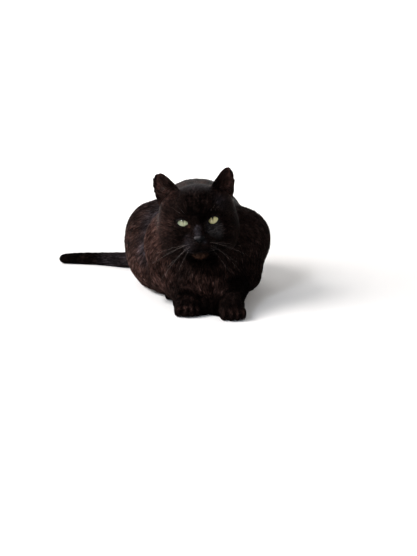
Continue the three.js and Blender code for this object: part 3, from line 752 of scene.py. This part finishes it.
def guard_hair(tree, markings_and_light):
    """Guard hair: fine, smooth horn, with almost no shine of its own. Its sheen is painted: the tips are
    lighter with painted sheen and the roots darker with painted shade, and a pale hair stands here and
    there."""
    shade = add(tree, CARRIED, out="Fac", attribute_name="shade")
    along = add(tree, CARRIED, out="Fac", attribute_name="along")
    hue = add(tree, "ShaderNodeGroup", {"Tone": shade}, "Colour", node_tree=markings_and_light)
    # Painted shade at the root and painted sheen toward the tip of each tuft.
    lift = add(tree, RANGE, (along, 0.0, 1.0, 0.35, 1.3))
    tinted = add(tree, VECTOR, {0: hue, 3: lift}, operation="SCALE")
    # The pale tufts are picked by the finest part of their tone, as good as by chance.
    fine = add(tree, MATH, (shade, 61.0), operation="MULTIPLY")
    fine = add(tree, MATH, (fine,), operation="FRACT")
    pale = add(tree, MATH, (fine, PALE_ABOVE), operation="GREATER_THAN")
    grizzled = add(tree, VECTOR, (tinted, PALE_HAIR), operation="MULTIPLY")
    whole = add(tree, MIX, {0: pale, 6: tinted, 7: grizzled}, 2, data_type="RGBA")
    return {"Base Color": whole, "Roughness": 0.38, "IOR": 1.5, "Specular IOR Level": 0.006}


def bare_skin(tree, markings_and_light):
    """Dark skin seen between the hairs, with the coat's colour and its painted sheen and shade, and
    red-brown in the ears, with painted light and shade on their folds.
    """
    place = add(tree, PLACE, out="Object")
    # Tufts of down lie about 0.7 mm apart.
    down = add(tree, NOISE, {"Vector": place, "Scale": 1400.0, "Detail": 2.0})
    hue = add(tree, "ShaderNodeGroup", {"Tone": down}, "Colour", node_tree=markings_and_light)
    ear = add(tree, CARRIED, out="Fac", attribute_name="inside_ear")
    # Veins and folds in the ears are about 8 mm across.
    veins = add(tree, NOISE, {"Vector": place, "Scale": 130.0, "Detail": 3.0})
    # Painted highlight on the ears' lit folds, and painted shade on their inner sides.
    folds = zone_sum(tree, place, from_head(EAR_FOLD_LIGHT_AND_SHADE))
    level = add(tree, MATH, (veins, 0.55, folds), operation="MULTIPLY_ADD", use_clamp=True)
    flesh = add(tree, MIX, {0: level, 6: colour("#1a0f0d"), 7: colour("#7c544b")}, 2, data_type="RGBA")
    whole = add(tree, MIX, {0: ear, 6: hue, 7: flesh}, 2, data_type="RGBA")
    relief = add(tree, BUMP, {"Strength": 0.5, "Distance": 0.4 * MM, "Height": down})
    return {"Base Color": whole, "Roughness": 0.6, "IOR": 1.45, "Specular IOR Level": 0.1, "Normal": relief}


def nose_leather(tree):
    """Nose leather: hairless and finely pebbled, damp enough for a soft cool shine. A grey painted
    highlight lies along its upper edge."""
    place = add(tree, PLACE, out="Object")
    # Pebbles are about 0.5 mm across.
    pebbles = add(tree, CELLS, {"Vector": place, "Scale": 2000.0}, "Distance")
    relief = add(tree, BUMP, {"Strength": 0.5, "Distance": 0.15 * MM, "Height": pebbles}, invert=True)
    hue = add(tree, MIX, {0: pebbles, 6: colour("#080708"), 7: colour("#040404")}, 2, data_type="RGBA")
    # A grey painted highlight along the leather's upper edge.
    top_highlight = zone_sum(tree, place, from_head(NOSE_TOP_HIGHLIGHT))
    hue = add(tree, MIX, {0: top_highlight, 6: hue, 7: colour("#3b3839")}, 2, data_type="RGBA")
    return {"Base Color": hue, "Roughness": 0.22, "IOR": 1.45, "Specular IOR Level": 0.09, "Normal": relief}


def lid_margin(tree):
    """The lids' bare black margin, kept wet by tears: a narrow bright line round the eye."""
    # Its grain is about 1 mm across.
    grain = add(tree, NOISE, {"Vector": add(tree, PLACE, out="Object"), "Scale": 900.0})
    hue = add(tree, MIX, {0: grain, 6: colour("#080606"), 7: colour("#120d0c")}, 2, data_type="RGBA")
    return {"Base Color": hue, "Roughness": 0.45, "IOR": 1.4, "Specular IOR Level": 0.12}


def iris(tree, outer, inner):
    """Iris: pale fibres that run out from the slit, greener toward the rim, with a dark outer ring."""
    plan = add(tree, "ShaderNodeUVMap", uv_map="eye_plan")
    centred = add(tree, "ShaderNodeMapping", {"Vector": plan, "Location": (-0.5, -0.5, 0)})
    scaled = add(tree, VECTOR, {0: centred, 3: EYE_PLAN}, operation="SCALE")
    flat = add(tree, SPLIT, (scaled,), None)
    radius = add(tree, VECTOR, (scaled,), "Value", operation="LENGTH")
    angle = add(tree, MATH, (flat[1], flat[0]), operation="ARCTAN2")
    ring = add(tree, JOIN, (angle, radius))
    stretched = add(tree, VECTOR, (ring, (9.0, 0.35, 1.0)), operation="MULTIPLY")
    fibres = add(tree, NOISE, {"Vector": stretched, "Scale": 2.2, "Detail": 3.0})
    outward = add(tree, RANGE, (radius, 1.0, 7.0, 0.0, 1.0))
    hue = add(tree, MIX, {0: outward, 6: colour(inner), 7: colour(outer)}, 2, data_type="RGBA")
    bright = add(tree, RANGE, (fibres, 0.3, 0.7, 0.78, 1.12))
    hue = add(tree, VECTOR, {0: hue, 3: bright}, operation="SCALE")
    # The slit is a lens shape, wide at the top and closed below the middle.
    height = add(tree, RANGE, (flat[1], -3.4, 4.6, 0.0, 1.0))
    width = add(tree, MATH, (height, 1.3), operation="POWER")
    width = add(tree, MATH, (width, 1.7), operation="MULTIPLY")
    across = add(tree, MATH, (flat[0],), operation="ABSOLUTE")
    past = add(tree, MATH, (across, width), operation="SUBTRACT")
    clear = add(tree, RANGE, (past, -0.1, 0.22, 0.0, 1.0))
    rim = add(tree, RANGE, (radius, 7.1, 8.1, 1.0, 0.12))
    seen = add(tree, MATH, (clear, rim), operation="MULTIPLY")
    whole = add(tree, MIX, {0: seen, 6: colour("#060505"), 7: hue}, 2, data_type="RGBA")
    relief = add(tree, BUMP, {"Strength": 0.25, "Distance": 0.1 * MM, "Height": fibres})
    return {"Base Color": whole, "Roughness": 0.5, "IOR": 1.4, "Specular IOR Level": 0.2, "Normal": relief}


def cornea(tree):
    """Cornea: clear and wet, so it shows the lamps as sharp points."""
    return {"Base Color": (1, 1, 1, 1), "Roughness": 0.03, "IOR": 1.376, "Transmission Weight": 1.0}


def whisker_horn(tree):
    """Whisker: grey, half clear horn that catches the light along its length."""
    # Its bands are about 8 mm long.
    bands = add(tree, NOISE, {"Vector": add(tree, PLACE, out="Object"), "Scale": 120.0})
    hue = add(tree, MIX, {0: bands, 6: colour("#4f4643"), 7: colour("#857a74")}, 2, data_type="RGBA")
    return {"Base Color": hue, "Roughness": 0.35, "IOR": 1.55}


def studio_floor(tree):
    """Matt white paint, which shows soft shadows and no shine."""
    return {"Base Color": colour("#f4f3f1"), "Roughness": 0.9}


# ---- coat
def tuft_blank():
    """One tuft as a closed spindle of six faces: root, three points round its middle, and tip. All its
    points are at the origin: the tree spreads them by the shares that each carries."""
    faces = [(0, 1, 3), (0, 3, 2), (0, 2, 1), (4, 3, 1), (4, 2, 3), (4, 1, 2)]
    mesh = mesh_of("tuft_blank", [(0, 0, 0)] * 5, faces)
    put_field(mesh, "grow_share", [(1, 0, 0), (0, 1, 0), (0, 1, 0), (0, 1, 0), (0, 0, 1)])
    put_field(mesh, "grow_edge", [(0, 0, 0), (-1, 0, 0.5), (1, 0, 0.5), (0, 1, 0.5), (0, 0, 1)])
    put_field(mesh, "along", [(0,), (0.5,), (0.5,), (0.5,), (1,)])
    return placed("tuft_blank", mesh)


TUFT_INPUTS = {
    "Patch": "Geometry",
    "Skin": "Object",
    "Tuft": "Object",
    "Density": "Float",
    "Width": "Float",
    "Lock size": "Float",
    "Lock pull": "Float",
    "Stray": "Float",
    "Guard share": "Float",
    "Seed": "Int",
    "Finish": "Material",
}
# The fields that the tree reads: those of the skin and the tuft, and those that it stores on the way.
TUFT_FIELDS = {
    "FLOAT": ("depth", "length", "width", "density"),
    "FLOAT_VECTOR": ("lie", "up", "share", "edge", "to_middle", "to_tip", "across", "thick", "sink"),
}
BEND_AT = 0.45  # the tuft bends this far along its length
MAP_PATCH = (0.003, 0.0015, 0.0)  # a tuft's length and half width on the unwrapped map


def tuft_tree():
    """Grows tufts on a patch of skin. Each starts in the skin, lies along the coat's lie, follows the
    skin under it, and ends at the coat's depth, drawn toward the middle of its lock."""
    tree = bpy.data.node_groups.new("grow_tufts", "GeometryNodeTree")
    for name, kind in TUFT_INPUTS.items():
        tree.interface.new_socket(name, in_out="INPUT", socket_type="NodeSocket" + kind)
    tree.interface.new_socket("Coat", in_out="OUTPUT", socket_type="NodeSocketGeometry")
    given = add(tree, "NodeGroupInput", out=None)
    skin = add(tree, "GeometryNodeObjectInfo", {"Object": given["Skin"]}, "Geometry")
    blank = add(tree, "GeometryNodeObjectInfo", {"Object": given["Tuft"]}, "Geometry")
    here = add(tree, "GeometryNodeInputPosition")
    field = {}
    for kind, names in TUFT_FIELDS.items():
        for name in names:
            field[name] = add(tree, STORED, {"Name": "grow_" + name}, "Attribute", data_type=kind)

    amount = add(tree, MATH, (field["density"], given["Density"]), operation="MULTIPLY")
    amount = add(tree, MATH, (amount, 1 / MM**2), operation="MULTIPLY")
    sown = {"Mesh": given["Patch"], "Density": amount, "Seed": given["Seed"]}
    roots = add(tree, "GeometryNodeDistributePointsOnFaces", sown, None)
    spread = {"Min": (-1, -1, -1), "Max": (1, 1, 1), "Seed": given["Seed"]}
    chance = add(tree, RANDOM, spread, data_type="FLOAT_VECTOR")
    chance = add(tree, SPLIT, (chance,), None)
    own_tone = add(tree, RANDOM, {"Seed": given["Seed"]}, 1, data_type="FLOAT")
    per_lock = add(tree, MATH, (1.0, given["Lock size"]), operation="DIVIDE")
    # The locks' tones are drawn out along the lie: a place's share along it counts for less.
    drawn = add(tree, VECTOR, (here, field["lie"]), "Value", operation="DOT_PRODUCT")
    drawn = add(tree, MATH, (drawn, -0.6), operation="MULTIPLY")
    drawn = add(tree, VECTOR, {0: field["lie"], 3: drawn}, operation="SCALE")
    drawn = add(tree, VECTOR, (here, drawn), operation="ADD")
    streak = add(tree, CELLS, {"Vector": drawn, "Scale": per_lock}, "Color")
    lock_tone = add(tree, SPLIT, (streak,))
    lock = add(tree, CELLS, {"Vector": here, "Scale": per_lock}, None)
    lock_rise = add(tree, SPLIT, (lock["Color"],), 1)
    # A share of the tufts are guard hairs: longer, broader and standing a little higher.
    guard = add(tree, RANDOM, {"Seed": 7}, 1, data_type="FLOAT")
    guard = add(tree, MATH, (guard, given["Guard share"]), operation="LESS_THAN")
    longer = add(tree, MATH, (guard, 0.3, 1.0), operation="MULTIPLY_ADD")
    broader = add(tree, MATH, (guard, 0.8, 1.0), operation="MULTIPLY_ADD")
    higher = add(tree, MATH, (guard, 0.16), operation="MULTIPLY")

    length = add(tree, MATH, (chance[0], 0.25, 1.0), operation="MULTIPLY_ADD")
    length = add(tree, MATH, (length, longer), operation="MULTIPLY")
    length = add(tree, MATH, (field["length"], length), operation="MULTIPLY")
    swing = add(tree, MATH, (chance[1], given["Stray"]), operation="MULTIPLY")

    # To the middle: nearly half the length along the lie, brought back to the skin.
    turn = {"Vector": field["lie"], "Axis": roots["Normal"], "Angle": swing}
    lie = add(tree, "ShaderNodeVectorRotate", turn, rotation_type="AXIS_ANGLE")
    step = add(tree, MATH, (length, BEND_AT), operation="MULTIPLY")
    step = add(tree, VECTOR, {0: lie, 3: step}, operation="SCALE")
    reach = add(tree, VECTOR, (here, step), operation="ADD")
    near = {}
    for name, value in (("place", here), ("up", field["up"]), ("lie", field["lie"])):
        wanted = {"Mesh": skin, "Value": value, "Sample Position": reach}
        near[name] = add(tree, "GeometryNodeSampleNearestSurface", wanted, data_type="FLOAT_VECTOR")
    rise = add(tree, MATH, (field["depth"], 0.85), operation="MULTIPLY")
    lift = add(tree, VECTOR, {0: near["up"], 3: rise}, operation="SCALE")
    middle = add(tree, VECTOR, (near["place"], lift), operation="ADD")

    # To the tip: on along the lie there, and toward the middle of the lock.
    turn = {"Vector": near["lie"], "Axis": near["up"], "Angle": swing}
    lie = add(tree, "ShaderNodeVectorRotate", turn, rotation_type="AXIS_ANGLE")
    step = add(tree, MATH, (length, 1 - BEND_AT), operation="MULTIPLY")
    step = add(tree, VECTOR, {0: lie, 3: step}, operation="SCALE")
    reach = add(tree, VECTOR, (near["place"], step), operation="ADD")
    pull = add(tree, VECTOR, (lock["Position"], here), operation="SUBTRACT")
    pull = add(tree, VECTOR, {0: pull, 3: given["Lock pull"]}, operation="SCALE")
    reach = add(tree, VECTOR, (reach, pull), operation="ADD")
    far = {}
    for name, value in (("place", here), ("up", field["up"])):
        wanted = {"Mesh": skin, "Value": value, "Sample Position": reach}
        far[name] = add(tree, "GeometryNodeSampleNearestSurface", wanted, data_type="FLOAT_VECTOR")
    stand = add(tree, MATH, (chance[2], 0.2, 0.92), operation="MULTIPLY_ADD")
    stand = add(tree, MATH, (stand, higher), operation="ADD")
    stand = add(tree, MATH, (lock_rise, 0.3, stand), operation="MULTIPLY_ADD")
    rise = add(tree, MATH, (field["depth"], stand), operation="MULTIPLY")
    lift = add(tree, VECTOR, {0: far["up"], 3: rise}, operation="SCALE")
    tip = add(tree, VECTOR, (far["place"], lift), operation="ADD")

    # Across: half the width to each side, with a low ridge, and the root a little under the skin.
    broad = add(tree, MATH, (field["width"], given["Width"]), operation="MULTIPLY")
    varied = add(tree, MATH, (chance[2], 0.15, 0.5), operation="MULTIPLY_ADD")
    varied = add(tree, MATH, (varied, broader), operation="MULTIPLY")
    half_width = add(tree, MATH, (broad, varied), operation="MULTIPLY")
    side = add(tree, VECTOR, (near["up"], lie), operation="CROSS_PRODUCT")
    ridge = add(tree, MATH, (half_width, 0.7), operation="MULTIPLY")
    kept = {
        "to_middle": add(tree, VECTOR, (middle, here), operation="SUBTRACT"),
        "to_tip": add(tree, VECTOR, (tip, here), operation="SUBTRACT"),
        "across": add(tree, VECTOR, {0: side, 3: half_width}, operation="SCALE"),
        "thick": add(tree, VECTOR, {0: near["up"], 3: ridge}, operation="SCALE"),
        "sink": add(tree, VECTOR, {0: roots["Normal"], 3: -ROOT_DEPTH * MM}, operation="SCALE"),
    }
    grown = roots["Points"]
    for name, value in kept.items():
        stored = {"Geometry": grown, "Name": "grow_" + name, "Value": value}
        grown = add(tree, STORE, stored, data_type="FLOAT_VECTOR", domain="POINT")
    tone = add(tree, MIX, {0: 0.55, 2: own_tone, 3: lock_tone}, data_type="FLOAT")
    stored = {"Geometry": grown, "Name": "shade", "Value": tone}
    grown = add(tree, STORE, stored, data_type="FLOAT", domain="POINT")
    grown = add(tree, "GeometryNodeInstanceOnPoints", {"Points": grown, "Instance": blank})
    grown = add(tree, "GeometryNodeRealizeInstances", {"Geometry": grown})

    share = add(tree, SPLIT, (field["share"],), None)
    edge = add(tree, SPLIT, (field["edge"],), None)
    place = here
    for name, amount in zip(("sink", "to_middle", "to_tip", "across", "thick"), (*share, *edge)):
        part = add(tree, VECTOR, {0: field[name], 3: amount}, operation="SCALE")
        place = add(tree, VECTOR, (place, part), operation="ADD")
    place = add(tree, VECTOR, (place, (-10.0, -10.0, FLOOR_GAP * MM)), operation="MAXIMUM")
    grown = add(tree, "GeometryNodeSetPosition", {"Geometry": grown, "Position": place})

    # Each tuft's patch of the map, at its root's place on the unwrapped skin.
    root_map = add(tree, STORED, {"Name": "OFBake"}, "Attribute", data_type="FLOAT_VECTOR")
    own_place = add(tree, JOIN, (edge[2], edge[0]))
    own_place = add(tree, VECTOR, (own_place, MAP_PATCH, root_map), operation="MULTIPLY_ADD")
    stored = {"Geometry": grown, "Name": "OFBake", "Value": own_place}
    grown = add(tree, STORE, stored, data_type="FLOAT2", domain="CORNER")
    spent = {"Geometry": grown, "Name": "grow_*"}
    grown = add(tree, "GeometryNodeRemoveAttribute", spent, pattern_mode="WILDCARD")
    grown = add(tree, "GeometryNodeSetMaterial", {"Geometry": grown, "Material": given["Finish"]})
    add(tree, "NodeGroupOutput", {"Coat": grown}, None)
    return tree


def skin_patch(name, skin, faces):
    """A copy of some of the skin's faces, with its points' fields and its own unwrapped map."""
    used, index = np.unique(faces, return_inverse=True)
    patch = mesh_of(name, numbers(skin.vertices, "co", 3)[used], index.reshape(-1, 3).tolist())
    for layer in skin.attributes:
        if layer.name.startswith("grow_"):
            key, width = ("vector", 3) if layer.data_type == "FLOAT_VECTOR" else ("value", 1)
            put_field(patch, layer.name, numbers(layer.data, key, width)[used])
    patch.uv_layers.new(name="OFBake")
    piece = placed(name, patch)
    bpy.ops.object.select_all(action="DESELECT")
    bpy.context.view_layer.objects.active = piece
    piece.select_set(True)
    bpy.ops.object.mode_set(mode="EDIT")
    bpy.ops.mesh.select_all(action="SELECT")
    bpy.ops.uv.smart_project(angle_limit=math.radians(66), island_margin=0.004)
    bpy.ops.object.mode_set(mode="OBJECT")
    return piece


def grow_coat(skin_piece, label, names, local, finish):
    """Every piece of the coat, each on its own patch of the skin."""
    mesh = skin_piece.data
    faces = numbers(mesh.loops, "vertex_index", 1, np.int32).reshape(-1, 3)
    region = np.array(names)[label[faces[:, 0]]]
    on_skull = np.isin(region, SKULL)
    middle = local[faces[on_skull]].mean(1)
    sides = np.where(middle[:, 0] < 0, "face_right", "face_left")
    region[on_skull] = np.where(middle[:, 1] < CROWN_Y, sides, "crown")
    tree = tuft_tree()
    socket_id = {s.name: s.identifier for s in tree.interface.items_tree if s.in_out == "INPUT"}
    blank = tuft_blank()
    pieces = []
    for seed, (name, parts) in enumerate(COAT_PIECES.items(), FIRST_SEED):
        patch = skin_patch(name + "_patch", mesh, faces[np.isin(region, parts)])
        growth = patch.modifiers.new("growth", "NODES")
        growth.node_group = tree
        settings = {
            "Skin": skin_piece,
            "Tuft": blank,
            "Density": float(THINNER),
            "Width": 1 / math.sqrt(THINNER),
            "Lock size": (FACE_LOCK if "face" in name or "ear" in name else BODY_LOCK) * MM,
            "Lock pull": 0.5,
            "Stray": 0.18,
            "Guard share": 0.12,
            "Seed": seed,
            "Finish": finish,
        }
        for key, value in settings.items():
            growth[socket_id[key]] = value
        grown = finished(patch)
        bpy.data.objects.remove(patch)
        print(name, "triangles", len(grown.polygons))
        pieces.append(shown(name, grown, finish))
    bpy.data.objects.remove(blank)
    return pieces


# ---- eyes, nose and whiskers
def turned(name, profile, centre, sides=64):
    """A profile of (radius, forward) spun about the gaze, in the head's frame, with the iris's map."""
    points, faces, rings = [], [], []
    for radius, forward in profile:
        count = sides if radius > 1e-6 else 1
        rings.append(range(len(points), len(points) + count))
        for i in range(count):
            a = 2 * math.pi * i / sides
            across, up = radius * math.cos(a), radius * math.sin(a)
            points.append((centre[0] + across, centre[1] - forward, centre[2] + up))
    for ring, after in zip(rings, rings[1:]):
        for i in range(sides):
            a, b = ring[i % len(ring)], ring[(i + 1) % len(ring)]
            c, d = after[(i + 1) % len(after)], after[i % len(after)]
            faces.append(list(dict.fromkeys((a, b, c, d))))
    mesh = mesh_of(name, [on_head(p) for p in points], faces)
    layer = mesh.uv_layers.new(name="eye_plan")
    for loop in mesh.loops:
        x, _, z = points[loop.vertex_index]
        layer.data[loop.index].uv = ((x - centre[0]) / EYE_PLAN + 0.5, (z - centre[2]) / EYE_PLAN + 0.5)
    return face_out(mesh)


def arc(radius, start, end, steps=12):
    """Part of a profile: a round about the eyeball's middle, between two angles from the gaze."""
    angles = [start + (end - start) * i / steps for i in range(steps + 1)]
    return [(radius * math.sin(a), radius * math.cos(a)) for a in angles]


def build_eyes():
    """Each eye: a dark ball with its iris set back, and a clear cornea over it."""
    clear = new_finish("clear_wet_cornea", cornea)
    edge = math.asin(IRIS_RADIUS / EYEBALL)
    ball = IRIS_FACE + arc(EYEBALL * UNDER_CORNEA, edge, math.pi)
    dome = arc(EYEBALL, 0, edge * 1.02) + CORNEA_BACK
    pieces = {}
    for side, sign in SIDES:
        centre = (sign * EYEBALL_AT[0], *EYEBALL_AT[1:])
        tinted = new_finish("green_gold_iris_" + side, iris, *IRIS_COLOURS[side])
        eye = shown("eyeball_" + side, turned("eyeball_" + side, ball, centre), tinted)
        lens = shown("cornea_" + side, turned("cornea_" + side, dome, centre), clear)
        lens.visible_shadow = False
        pieces[side] = (eye, lens)
    return pieces


def band(rings, sides, closed=False):
    """The faces between rings of points that follow each other, each with as many sides."""
    faces = []
    for i in range(rings if closed else rings - 1):
        after = (i + 1) % rings
        for j in range(sides):
            k = (j + 1) % sides
            faces.append((i * sides + j, i * sides + k, after * sides + k, after * sides + j))
    return faces


def build_lids():
    """The lids' bare skin round each eye opening: a rounded wet edge on the eyeball, and from it a thin
    apron that runs out over the ball and under the coat. At both corners it draws in, so that the two lids
    meet."""
    finish = new_finish("wet_black_lid_margin", lid_margin)
    pieces = {}
    for side, sign in SIDES:
        centre = np.array([sign * EYEBALL_AT[0], *EYEBALL_AT[1:]])
        outline = lid_line(sign, 1.0, 28)
        upper = np.arange(len(outline)) < len(outline) / 2
        middle = np.array([sign * EYE_X, 0.0])
        outline[:, 0] = middle[0] + (outline[:, 0] - middle[0]) * LIDS_OPEN[side][0]
        outline[upper & (outline[:, 1] > 0), 1] *= LIDS_OPEN[side][1]
        points = []
        for (x, z), above in zip(outline, upper):
            away = np.array([x, z]) - middle
            away /= np.linalg.norm(away)
            corner = abs(x - middle[0]) / (LID_LINE["width"] / 2)
            for out, lift in LID_SECTION:
                if lift > 0 and above:
                    lift *= 1 + 0.9 * (1 - corner**2)
                # At the corners the edge draws in, so that the two lids meet without a gap.
                flat = np.array([x, z]) + away * (out - 0.5 * ease(corner, 0.85, 1.0)) - centre[[0, 2]]
                forward = math.sqrt(max(EYEBALL**2 - flat @ flat, 4.0))
                on_ball = np.array([flat[0], -forward, flat[1]])
                on_ball *= (np.linalg.norm(on_ball) + lift) / np.linalg.norm(on_ball)
                points.append(on_head(centre + on_ball))
        mesh = mesh_of("lids_" + side, points, band(len(outline), len(LID_SECTION), closed=True))
        pieces[side] = shown("lids_" + side, face_out(mesh), finish)
    return pieces


def build_nose():
    """The nose leather, rounded from the node's own wedge."""
    piece = placed("nose_leather", mesh_from(merged("nose"), "nose_leather"))
    remesh(piece, NOSE_VOXEL)
    soft = piece.modifiers.new("soft", "SMOOTH")
    soft.factor = 0.5
    soft.iterations = 5
    mesh = finished(piece)
    bpy.data.objects.remove(piece)
    return shown("nose_leather", mesh, new_finish("damp_black_nose_leather", nose_leather))


# Whiskers of one pad: the root as x and z in the head's frame, the length, and how far down and
# forward each sets out.
WHISKERS = [
    (11, -29, 40, -0.22, -0.1),
    (15, -29.5, 50, -0.34, 0.0),
    (18, -30, 42, -0.1, 0.12),
    (12, -32.5, 42, -0.66, -0.12),
    (16, -33, 50, -0.84, 0.0),
    (14, -36, 34, -1.4, -0.05),
]
WHISKER_RADIUS = {1: 0.03, -1: 0.07}  # on the cat's left and on its right
WHISKER_STEPS = 14
WHISKER_SIDES = 5
WHISKER_ROOT = 0.5  # how deep it starts in the skin


def tube(path, radii, sides):
    """Points and faces of a tube along a path, closed with a flat face at each end."""
    points = []
    for i, (at, radius) in enumerate(zip(path, radii)):
        ahead = (path[min(i + 1, len(path) - 1)] - path[max(i - 1, 0)]).normalized()
        side = ahead.cross(Vector((0, 0, 1))).normalized()
        over = side.cross(ahead)
        for j in range(sides):
            a = 2 * math.pi * j / sides
            points.append(at + (side * math.cos(a) + over * math.sin(a)) * radius)
    ends = [tuple(range(sides))[::-1], tuple(range(len(points) - sides, len(points)))]
    return points, band(len(path), sides) + ends


def build_whiskers(skin_tree):
    """Whiskers in rows on each pad and a few over each eye, all bending down under their own weight."""
    chance = np.random.default_rng(5)
    turn = HEAD_FRAME.to_3x3()
    points, faces = [], []
    for _, sign in SIDES:
        roots = [(x, z, long, (1.0, front, drop), 0.14) for x, z, long, drop, front in WHISKERS]
        roots += [(16 + 4 * i, 9.5 + 0.5 * i, 18, (0.45 + 0.3 * i, -0.4, 0.7), 0.2) for i in range(2)]
        for x, z, long, way, sag in roots:
            hit, normal, _, _ = skin_tree.ray_cast(on_head((sign * x, -60, z)), turn @ Vector((0, 1, 0)))
            length = long * chance.uniform(0.85, 1.1) * MM
            out = (turn @ Vector((sign * way[0], *way[1:]))).normalized()
            droop = Vector((0, 0.2, -1)) * length * sag * chance.uniform(0.6, 1.4)
            shares = [i / WHISKER_STEPS for i in range(WHISKER_STEPS + 1)]
            path = [hit + out * length * t + droop * t * t for t in shares]
            path[0] = hit - normal * WHISKER_ROOT * MM
            thick = WHISKER_RADIUS[sign] * min(1, long / 30)
            radii = [(thick * (1 - t) ** 0.8 + 0.02) * MM for t in shares]
            more_points, more_faces = tube(path, radii, WHISKER_SIDES)
            faces += [tuple(len(points) + v for v in face) for face in more_faces]
            points += more_points
    mesh = face_out(mesh_of("whiskers", points, faces))
    return shown("whiskers", mesh, new_finish("grey_whisker_horn", whisker_horn))


# ---- build
skin_mesh, label, names, local = build_skin()
markings_and_light = markings_and_light_group()
skin_piece = shown("skin", skin_mesh, new_finish("dark_skin_under_short_hair", bare_skin, markings_and_light))
print("skin triangles", len(skin_mesh.polygons))
hair = new_finish("black_guard_hair_with_painted_sheen", guard_hair, markings_and_light)
coat_pieces = grow_coat(skin_piece, label, names, local, hair)
skin_tree = BVHTree.FromObject(skin_piece, bpy.context.evaluated_depsgraph_get())
eyes = build_eyes()
lids = build_lids()
nose = build_nose()
whiskers = build_whiskers(skin_tree)

flesh = [n for n in names if not n.startswith("eye_") and n != "nose"]
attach(skin_piece, "root")
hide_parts(*flesh)
for piece in coat_pieces:
    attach(piece, "root")
for side in ("left", "right"):
    for piece in eyes[side]:
        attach(piece, "root")
    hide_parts("eye_" + side)
    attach(lids[side], "root")
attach(nose, "root")
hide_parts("nose")
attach(whiskers, "root")


# ---- floor, lights and camera, in metres
SWEEP = {"front": -4.0, "near": 1.6, "bend": 0.9, "top": 2.6, "half": 4.0}  # the floor curves up behind
FLOOR_DROP = 0.4 * MM  # the floor lies this far under the frame's own
SUBJECT = (0, 0, 0.08)  # what the lamps are turned to
# Place, aim, size, power and tint of each lamp.
LAMPS = {
    "window": ((-1.3, -0.3, 1.15), SUBJECT, 0.9, 38, (1.0, 0.97, 0.96)),
    "sky": ((-0.69, -1.2, 0.89), SUBJECT, 0.22, 7, (0.84, 0.91, 1.0)),
    "rim": ((1.1, 0.7, 0.9), SUBJECT, 0.6, 4, (1.0, 0.9, 0.8)),
    "sweep": ((0.0, 1.0, 1.7), (0.0, 2.6, 1.15), 1.2, 60, (1.0, 1.0, 1.0)),
}
CAMERA_AT = (-0.1967, -1.71, 0.413)
CAMERA_BACK = (-0.1187, -0.9671, 0.225)  # the way from what it sees to the camera
CAMERA_LENS = 80.9  # millimetres, on a frame 36 high


def aimed(name, data, at, toward):
    """A lamp or camera at its place, turned to look in a direction."""
    piece = placed(name, data)
    piece.location = at
    piece.rotation_euler = toward.to_track_quat("-Z", "Y").to_euler()
    return piece


def build_stage():
    """A plain pale floor that curves up behind like a studio sweep, with soft lamps: a large one high
    on the left, a cool one in front, a low one behind on the right, and one that lights the sweep."""
    profile = [(SWEEP["front"], 0.0), (SWEEP["near"], 0.0)]
    for i in range(1, 17):
        a = math.pi / 2 * i / 16
        profile.append((SWEEP["near"] + SWEEP["bend"] * math.sin(a), SWEEP["bend"] * (1 - math.cos(a))))
    profile.append((SWEEP["near"] + SWEEP["bend"], SWEEP["top"]))
    points = [(x, y, z - FLOOR_DROP) for y, z in profile for x in (-SWEEP["half"], SWEEP["half"])]
    faces = [(2 * i, 2 * i + 1, 2 * i + 3, 2 * i + 2) for i in range(len(profile) - 1)]
    finish = new_finish("matt_white_studio_floor", studio_floor)
    shown("floor", mesh_of("floor", points, faces), finish)

    world = bpy.data.worlds.new("studio")
    bpy.context.scene.world = world
    world.use_nodes = True
    glow = world.node_tree.nodes["Background"].inputs
    glow["Color"].default_value = (0.93, 0.95, 1.0, 1)
    glow["Strength"].default_value = 0.34
    for name, (at, aim, size, power, tint) in LAMPS.items():
        light = bpy.data.lights.new(name, "AREA")
        light.size = size
        light.energy = power
        light.color = tint
        aimed(name, light, at, Vector(aim) - Vector(at))


def build_camera():
    camera = bpy.data.cameras.new("camera")
    camera.sensor_fit = "VERTICAL"
    camera.sensor_height = 36
    camera.lens = CAMERA_LENS
    camera.clip_start = 0.05
    bpy.context.scene.camera = aimed("camera", camera, CAMERA_AT, -Vector(CAMERA_BACK))


build_stage()
build_camera()
bpy.context.scene.view_settings.view_transform = "Standard"
